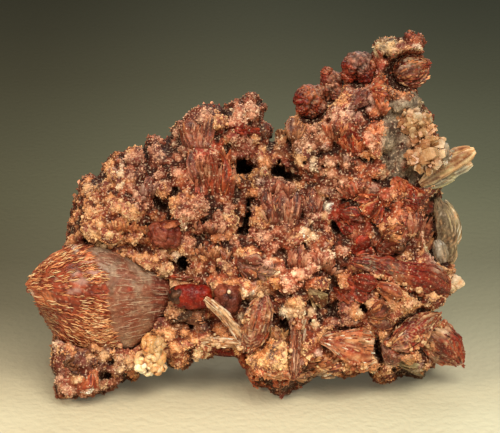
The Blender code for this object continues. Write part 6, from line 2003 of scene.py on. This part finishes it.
def build_sprays():
    rng = np.random.default_rng(55)
    heap = Heap()
    for u0, v0, u1, v1, a0, a1, l0, l1, count, width, lift, low, top in SPRAYS:
        count = int(count * 1.3)
        w = rng.random(count)
        ru, rv = u0 + (u1 - u0) * w, v0 + (v1 - v0) * w
        share = np.clip((np.arange(count) + rng.uniform(-0.5, 0.5, count)) / max(count - 1, 1), 0, 1)
        ang = np.radians(a0 + (a1 - a0) * share)
        length = rng.uniform(l0, l1, count) * 0.85
        wide = width * rng.uniform(0.6, 1.15, count)
        thick = rng.uniform(0.45, 0.8, count)
        roll = rng.normal(0, 0.5, count)
        bend = rng.normal(0, 0.10, count)
        ts = np.array([0.0, 0.3, 0.62, 0.86, 1.0])
        ws = np.array([0.7, 0.95, 1.0, 0.8, 0.3])
        lf = np.array([-0.8, 0.25, 0.7, 0.95, 1.0])
        V = np.zeros((count, 5, 4, 3))
        for s_, (t, wf, lift_f) in enumerate(zip(ts, ws, lf)):
            a = ang + bend * t
            u = ru + np.cos(a) * length * t
            v = rv + np.sin(a) * length * t
            y = grid_read(SEAT_SMOOTH, u, v) - lift * lift_f * rng.uniform(0.75, 1.15, count) + (0.0 if s_ else 0.3)
            pu, pv = -np.sin(a), np.cos(a)
            for c_, (sx, sy) in enumerate(((-1, -1), (1, -1), (1, 1), (-1, 1))):
                ox = sx * wide * wf / 2 * np.cos(roll) - sy * thick * wf / 2 / UNIT * np.sin(roll)
                oy = sx * wide * wf / 2 * UNIT * np.sin(roll) + sy * thick * (0.5 + 0.5 * wf) / 2 * np.cos(roll)
                V[:, s_, c_] = at(u + pu * ox, v + pv * ox, y + oy)
        k = np.arange(4)
        F = []
        for s_ in range(4):
            a, b = s_ * 4, s_ * 4 + 4
            F += [[a + i, a + (i + 1) % 4, b + (i + 1) % 4, b + i] for i in range(4)]
        F += [[3, 2, 1, 0], [16, 17, 18, 19]]
        F = np.array(F)
        allF = (F[None] + (np.arange(count) * 20)[:, None, None]).reshape(-1, 4)
        P = V.reshape(-1, 3)
        p0 = P[:20]
        tri = np.vstack([F[:, [0, 1, 2]], F[:, [0, 2, 3]]])
        if np.einsum("ij,ij->i", p0[tri[:, 0]] - p0.mean(0), np.cross(p0[tri[:, 1]] - p0.mean(0),
                                                                    p0[tri[:, 2]] - p0.mean(0))).sum() < 0:
            allF = allF[:, ::-1]
        lowc, topc = PAL[PALETTE_NAMES.index(low)], PAL[PALETTE_NAMES.index(top)]
        a_, b_ = lowc[rng.integers(0, 5, count)], topc[rng.integers(0, 5, count)] * rng.normal(1.0, 0.12, (count, 1))
        f = np.array([0.0, 0.25, 0.6, 0.9, 1.0])[None, :, None, None]
        C = np.broadcast_to(a_[:, None, None] * (1 - f) + b_[:, None, None] * f, (count, 5, 4, 3)).reshape(-1, 3)
        heap.add(P, allF, np.clip(C, 0.003, 1))
    finish_piece(heap.made("stilbite_sprays"), "stilbite", "stilbite_rust")


# ================================================================ wedge-shaped bundles that fan out of the crust
def build_wedges():
    heap = Heap()
    rng = np.random.default_rng(66)
    for k, (u0, v0, turn, length, wide, lift, low, top, share) in enumerate(WEDGES):
        t = np.linspace(0, 1, 9)
        a = math.radians(turn)
        u, v = u0 + math.cos(a) * length * t, v0 + math.sin(a) * length * t
        w = wide * np.array([0.22, 0.38, 0.54, 0.70, 0.85, 0.96, 1.0, 0.86, 0.35])
        squash = 0.7
        seat_y = grid_read(SEAT_SMOOTH, u, v)
        seat_y = np.interp(t, t[::2], seat_y[::2])
        rise = (lift + 0.7) * np.array([-0.6, 0.1, 0.6, 0.9, 1.0, 1.0, 1.0, 0.9, 0.7])
        y = seat_y - rise + w * UNIT * squash * COS
        centre, half = stations(np.stack([u, v, y, w], 1))
        n_s, n_a = ((22, 30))
        P, tris, col = spindle_mesh(centre, half, squash, n_s, n_a, 0.8, 9.0, 0.8, paint_with(low, top, share),
                                    500 + 7 * k)
        heap.add(P, tris, np.clip(col * (1.13, 1.15, 1.15), 0, 1))
        dress(heap, P, n_s, n_a, 12, length * UNIT * 0.4, 0.4, 0.4, (low, top, top, "gold"), rng)
        sprinkle(heap, P, n_s, n_a, 22, (top, "pink", "cream"), rng)
    finish_piece(heap.made("stilbite_wedges", smooth=True), "stilbite", "stilbite_rust")


def build_seam():
    """Small knobs of crust that close the crack between the druse and the upper edge of the large sheaf."""
    rng = np.random.default_rng(83)
    heap = Heap()
    for k, u in enumerate(np.linspace(97, 166, 42)):
        v = np.interp(u, SHEAF_U, SHEAF_TOP) - rng.uniform(-0.6, 2.4)
        r = rng.uniform(0.55, 1.05)
        y = SHEAF_Y - rng.uniform(0.6, 1.8)
        lump(heap, u, v, y, r * 1.15, r, r, rng.uniform(0, 180), ("rust", "gold", "brown", "orange", "tan")[k % 5], 700 + k,
             9, 13, 0.5, 0.58)
    finish_piece(heap.made("druse_seam"), "crust", "matrix_crust")


def build_crusts():
    rng = np.random.default_rng(808)
    heap = Heap()
    pts = np.vstack(SHEAF_SKIN)
    d = drawn(pts)
    tree = KDTree(len(d))
    for k, (u, v, _) in enumerate(d):
        tree.insert((u, v, 0.0), k)
    tree.balance()
    for k, (cu, cv, reach, count, palette) in enumerate(CRUSTS):
        for m in range(count + 6):
            a, q = rng.uniform(0, 6.283), math.sqrt(rng.random()) * reach
            u, v = cu + q * math.cos(a) * 1.1, cv + q * math.sin(a) * 0.8
            near = [d[i][2] for _, i, _ in tree.find_range((u, v, 0.0), 1.8)]
            r = rng.uniform(0.32, 0.72)
            if not near or min(near) > float(grid_read(SEAT, u, v)) + 0.6:
                continue
            lump(heap, u, v, min(near) + 0.3 * r, r, r * rng.uniform(0.8, 1.1), r, rng.uniform(0, 90),
                 ("gold" if palette in ("cream", "white") else palette) if m % 3 else "rust", 2000 + 20 * k + m, 9, 12,
                 0.5, 0.72)
    finish_piece(heap.made("druse_popcorn", smooth=True), "crust", "matrix_crust")


SHEAF_SKIN = []
build_tip()
build_lenses()
build_clusters()
build_balls()
build_sheaves()
build_fin()
build_wedges()
build_sprays()
build_crusts()
build_seam()


# ================================================================ floor, light and camera
def build_stage():
    bpy.ops.mesh.primitive_plane_add(size=3.0, location=(0, 0.6, 0))
    floor = bpy.context.object
    floor.name = "studio_floor"
    mat = bpy.data.materials.new("paper")
    mat.use_nodes = True
    nt = mat.node_tree
    bsdf = nt.nodes["Principled BSDF"]
    coords = nt.nodes.new("ShaderNodeTexCoord")
    split = nt.nodes.new("ShaderNodeSeparateXYZ")
    nt.links.new(coords.outputs["Object"], split.inputs[0])
    far = nt.nodes.new("ShaderNodeMapRange")
    far.inputs["From Min"].default_value = -1.04
    far.inputs["From Max"].default_value = -0.20
    nt.links.new(split.outputs["Y"], far.inputs["Value"])
    # painted light: the floor is paler near the specimen and darker further from it, front and back, as light falling
    # off
    ramp = nt.nodes.new("ShaderNodeValToRGB")
    stops = [(-0.909, (92, 88, 70)), (-0.50, (120, 113, 90)), (-0.25, (176, 163, 132)), (-0.10, (236, 219, 180)),
             (0.0, (244, 227, 188)), (0.036, (240, 223, 183)), (0.07, (221, 202, 163)), (0.11, (196, 179, 145)),
             (0.155, (167, 154, 124)), (0.20, (142, 131, 104)), (0.28, (121, 113, 89)), (0.40, (114, 109, 85)),
             (0.55, (102, 98, 77)), (0.70, (88, 84, 66)), (0.85, (77, 74, 59)), (1.0, (68, 66, 53))]
    # places run from 0 to 1 between y = -40 mm and y = 400 mm; the ramp itself starts at y = -440 mm
    stops = [((place * 0.44 + 0.40) / 0.84, rgb) for place, rgb in stops]
    ramp.color_ramp.elements[0].position = stops[0][0]
    ramp.color_ramp.elements[0].color = (*linear(stops[0][1]), 1)
    ramp.color_ramp.elements[1].position = stops[-1][0]
    ramp.color_ramp.elements[1].color = (*linear(stops[-1][1]), 1)
    for place, rgb in stops[1:-1]:
        ramp.color_ramp.elements.new(place).color = (*linear(rgb), 1)
    nt.links.new(far.outputs[0], ramp.inputs[0])
    across = nt.nodes.new("ShaderNodeMapRange")
    across.inputs["From Min"].default_value = -0.075
    across.inputs["From Max"].default_value = 0.075
    nt.links.new(split.outputs["X"], across.inputs["Value"])
    # painted shadow to the left of the specimen and painted light to the right, with a painted cool tint on the right
    sides = []
    for listed in (((0.05, 1.06), (0.13, 0.80), (0.21, 0.66), (0.32, 0.70), (0.45, 0.80), (1.0, 0.80)),
                   ((0.05, 1.04), (0.13, 1.32), (0.21, 1.48), (0.30, 1.20), (0.45, 0.98), (1.0, 0.90))):
        levels = [((place * 0.44 + 0.40) / 0.84, value) for place, value in listed]
        side = nt.nodes.new("ShaderNodeValToRGB")
        side.color_ramp.elements[0].position, side.color_ramp.elements[-1].position = levels[0][0], levels[-1][0]
        for place, value in levels[1:-1]:
            side.color_ramp.elements.new(place)
        for element, (place, value) in zip(side.color_ramp.elements, levels):
            element.color = (value / 1.6, value / 1.6, value / 1.6, 1)
        nt.links.new(far.outputs[0], side.inputs[0])
        hue = nt.nodes.new("ShaderNodeMix")
        hue.data_type = "RGBA"
        hue.blend_type = "MULTIPLY"
        hue.inputs["Factor"].default_value = 1.0
        hue.inputs["B"].default_value = (1.0, 1.0, 1.0, 1) if not sides else (0.99, 1.08, 1.14, 1)
        nt.links.new(side.outputs[0], hue.inputs["A"])
        sides.append(hue)
    tint = nt.nodes.new("ShaderNodeMix")
    tint.data_type = "RGBA"
    nt.links.new(sides[0].outputs["Result"], tint.inputs["A"])
    nt.links.new(sides[1].outputs["Result"], tint.inputs["B"])
    nt.links.new(across.outputs[0], tint.inputs["Factor"])
    tinted = nt.nodes.new("ShaderNodeMix")
    tinted.data_type = "RGBA"
    tinted.blend_type = "MULTIPLY"
    tinted.inputs["Factor"].default_value = 1.0
    nt.links.new(ramp.outputs[0], tinted.inputs["A"])
    nt.links.new(tint.outputs["Result"], tinted.inputs["B"])
    lift = nt.nodes.new("ShaderNodeVectorMath")
    lift.operation = "MULTIPLY"
    lift.inputs[1].default_value = (1.085, 1.148, 1.232)
    nt.links.new(tinted.outputs["Result"], lift.inputs[0])
    # a painted soft pool of light on the floor behind the specimen and a weaker one in front of it
    off_middle = nt.nodes.new("ShaderNodeMath")
    off_middle.operation = "ABSOLUTE"
    nt.links.new(split.outputs["X"], off_middle.inputs[0])
    bell = nt.nodes.new("ShaderNodeMapRange")
    bell.interpolation_type = "SMOOTHSTEP"
    bell.inputs["From Min"].default_value, bell.inputs["From Max"].default_value = 0.0, 0.085
    bell.inputs["To Min"].default_value, bell.inputs["To Max"].default_value = 1.0, 0.0
    nt.links.new(off_middle.outputs[0], bell.inputs["Value"])
    reach = nt.nodes.new("ShaderNodeMapRange")
    reach.inputs["From Min"].default_value, reach.inputs["From Max"].default_value = -0.62, -0.48
    reach.inputs["To Min"].default_value, reach.inputs["To Max"].default_value = 0.07, 0.42
    nt.links.new(split.outputs["Y"], reach.inputs["Value"])
    pool = nt.nodes.new("ShaderNodeMath")
    pool.operation = "MULTIPLY_ADD"
    pool.inputs[2].default_value = 1.0
    nt.links.new(bell.outputs["Result"], pool.inputs[0])
    nt.links.new(reach.outputs["Result"], pool.inputs[1])
    lit = nt.nodes.new("ShaderNodeVectorMath")
    lit.operation = "SCALE"
    nt.links.new(lift.outputs["Vector"], lit.inputs[0])
    nt.links.new(pool.outputs[0], lit.inputs["Scale"])
    nt.links.new(lit.outputs["Vector"], bsdf.inputs["Base Color"])
    # painted fill light: the floor glows faintly in its own colour, which lifts its shadows
    nt.links.new(lit.outputs["Vector"], bsdf.inputs["Emission Color"])
    bsdf.inputs["Emission Strength"].default_value = 0.14
    bsdf.inputs["Roughness"].default_value = 0.9
    bsdf.inputs["Specular IOR Level"].default_value = 0.0
    stretch = nt.nodes.new("ShaderNodeVectorMath")
    stretch.operation = "MULTIPLY"
    stretch.inputs[1].default_value = (1.0, 0.8, 1.0)
    nt.links.new(coords.outputs["Object"], stretch.inputs[0])
    wave = nt.nodes.new("ShaderNodeTexNoise")
    wave.inputs["Scale"].default_value = 560.0
    wave.inputs["Detail"].default_value = 2.0
    wave.inputs["Roughness"].default_value = 0.45
    nt.links.new(stretch.outputs["Vector"], wave.inputs["Vector"])
    bump = nt.nodes.new("ShaderNodeBump")
    bump.inputs["Strength"].default_value = 0.5
    bump.inputs["Distance"].default_value = 0.0008
    nt.links.new(wave.outputs["Fac"], bump.inputs["Height"])
    nt.links.new(bump.outputs["Normal"], bsdf.inputs["Normal"])
    floor.data.materials.append(mat)


def lamp(name, place, aim, size, power, rgb):
    data = bpy.data.lights.new(name, "AREA")
    data.shape = "DISK"
    data.size = size
    data.energy = power
    data.color = rgb
    obj = bpy.data.objects.new(name, data)
    bpy.context.scene.collection.objects.link(obj)
    obj.location = place
    obj.rotation_euler = (Vector(aim) - Vector(place)).to_track_quat("-Z", "Y").to_euler()
    return obj


build_stage()
lamp("key", (0.32, -1.08, 1.10), (0.0, 0.0, 0.03), 0.85, 23.2, (1.0, 0.95, 0.84))
lamp("warm", (-0.85, -0.90, 0.75), (0.0, 0.0, 0.03), 0.40, 9.0, (1.0, 0.86, 0.68))
lamp("behind", (0.15, 1.25, 1.10), (0.0, 0.0, 0.03), 1.0, 6.5, (0.96, 0.97, 1.0))
world = bpy.data.worlds.new("room")
world.use_nodes = True
world.node_tree.nodes["Background"].inputs[0].default_value = (0.62, 0.57, 0.46, 1)
world.node_tree.nodes["Background"].inputs[1].default_value = 0.45
scene = bpy.context.scene
scene.world = world
scene.view_settings.view_transform = "Standard"

cam = bpy.data.cameras.new("photo_camera")
cam.sensor_width = 36.0
cam.lens = 36.0 * SIGHT_FAR / 111.6
cam.clip_start, cam.clip_end = 0.01, 10.0
camera = bpy.data.objects.new("photo_camera", cam)
scene.collection.objects.link(camera)
camera.location = Vector(((EYE + MOVE) * MM).tolist())
camera.rotation_euler = (math.radians(72.0), 0.0, 0.0)
scene.camera = camera
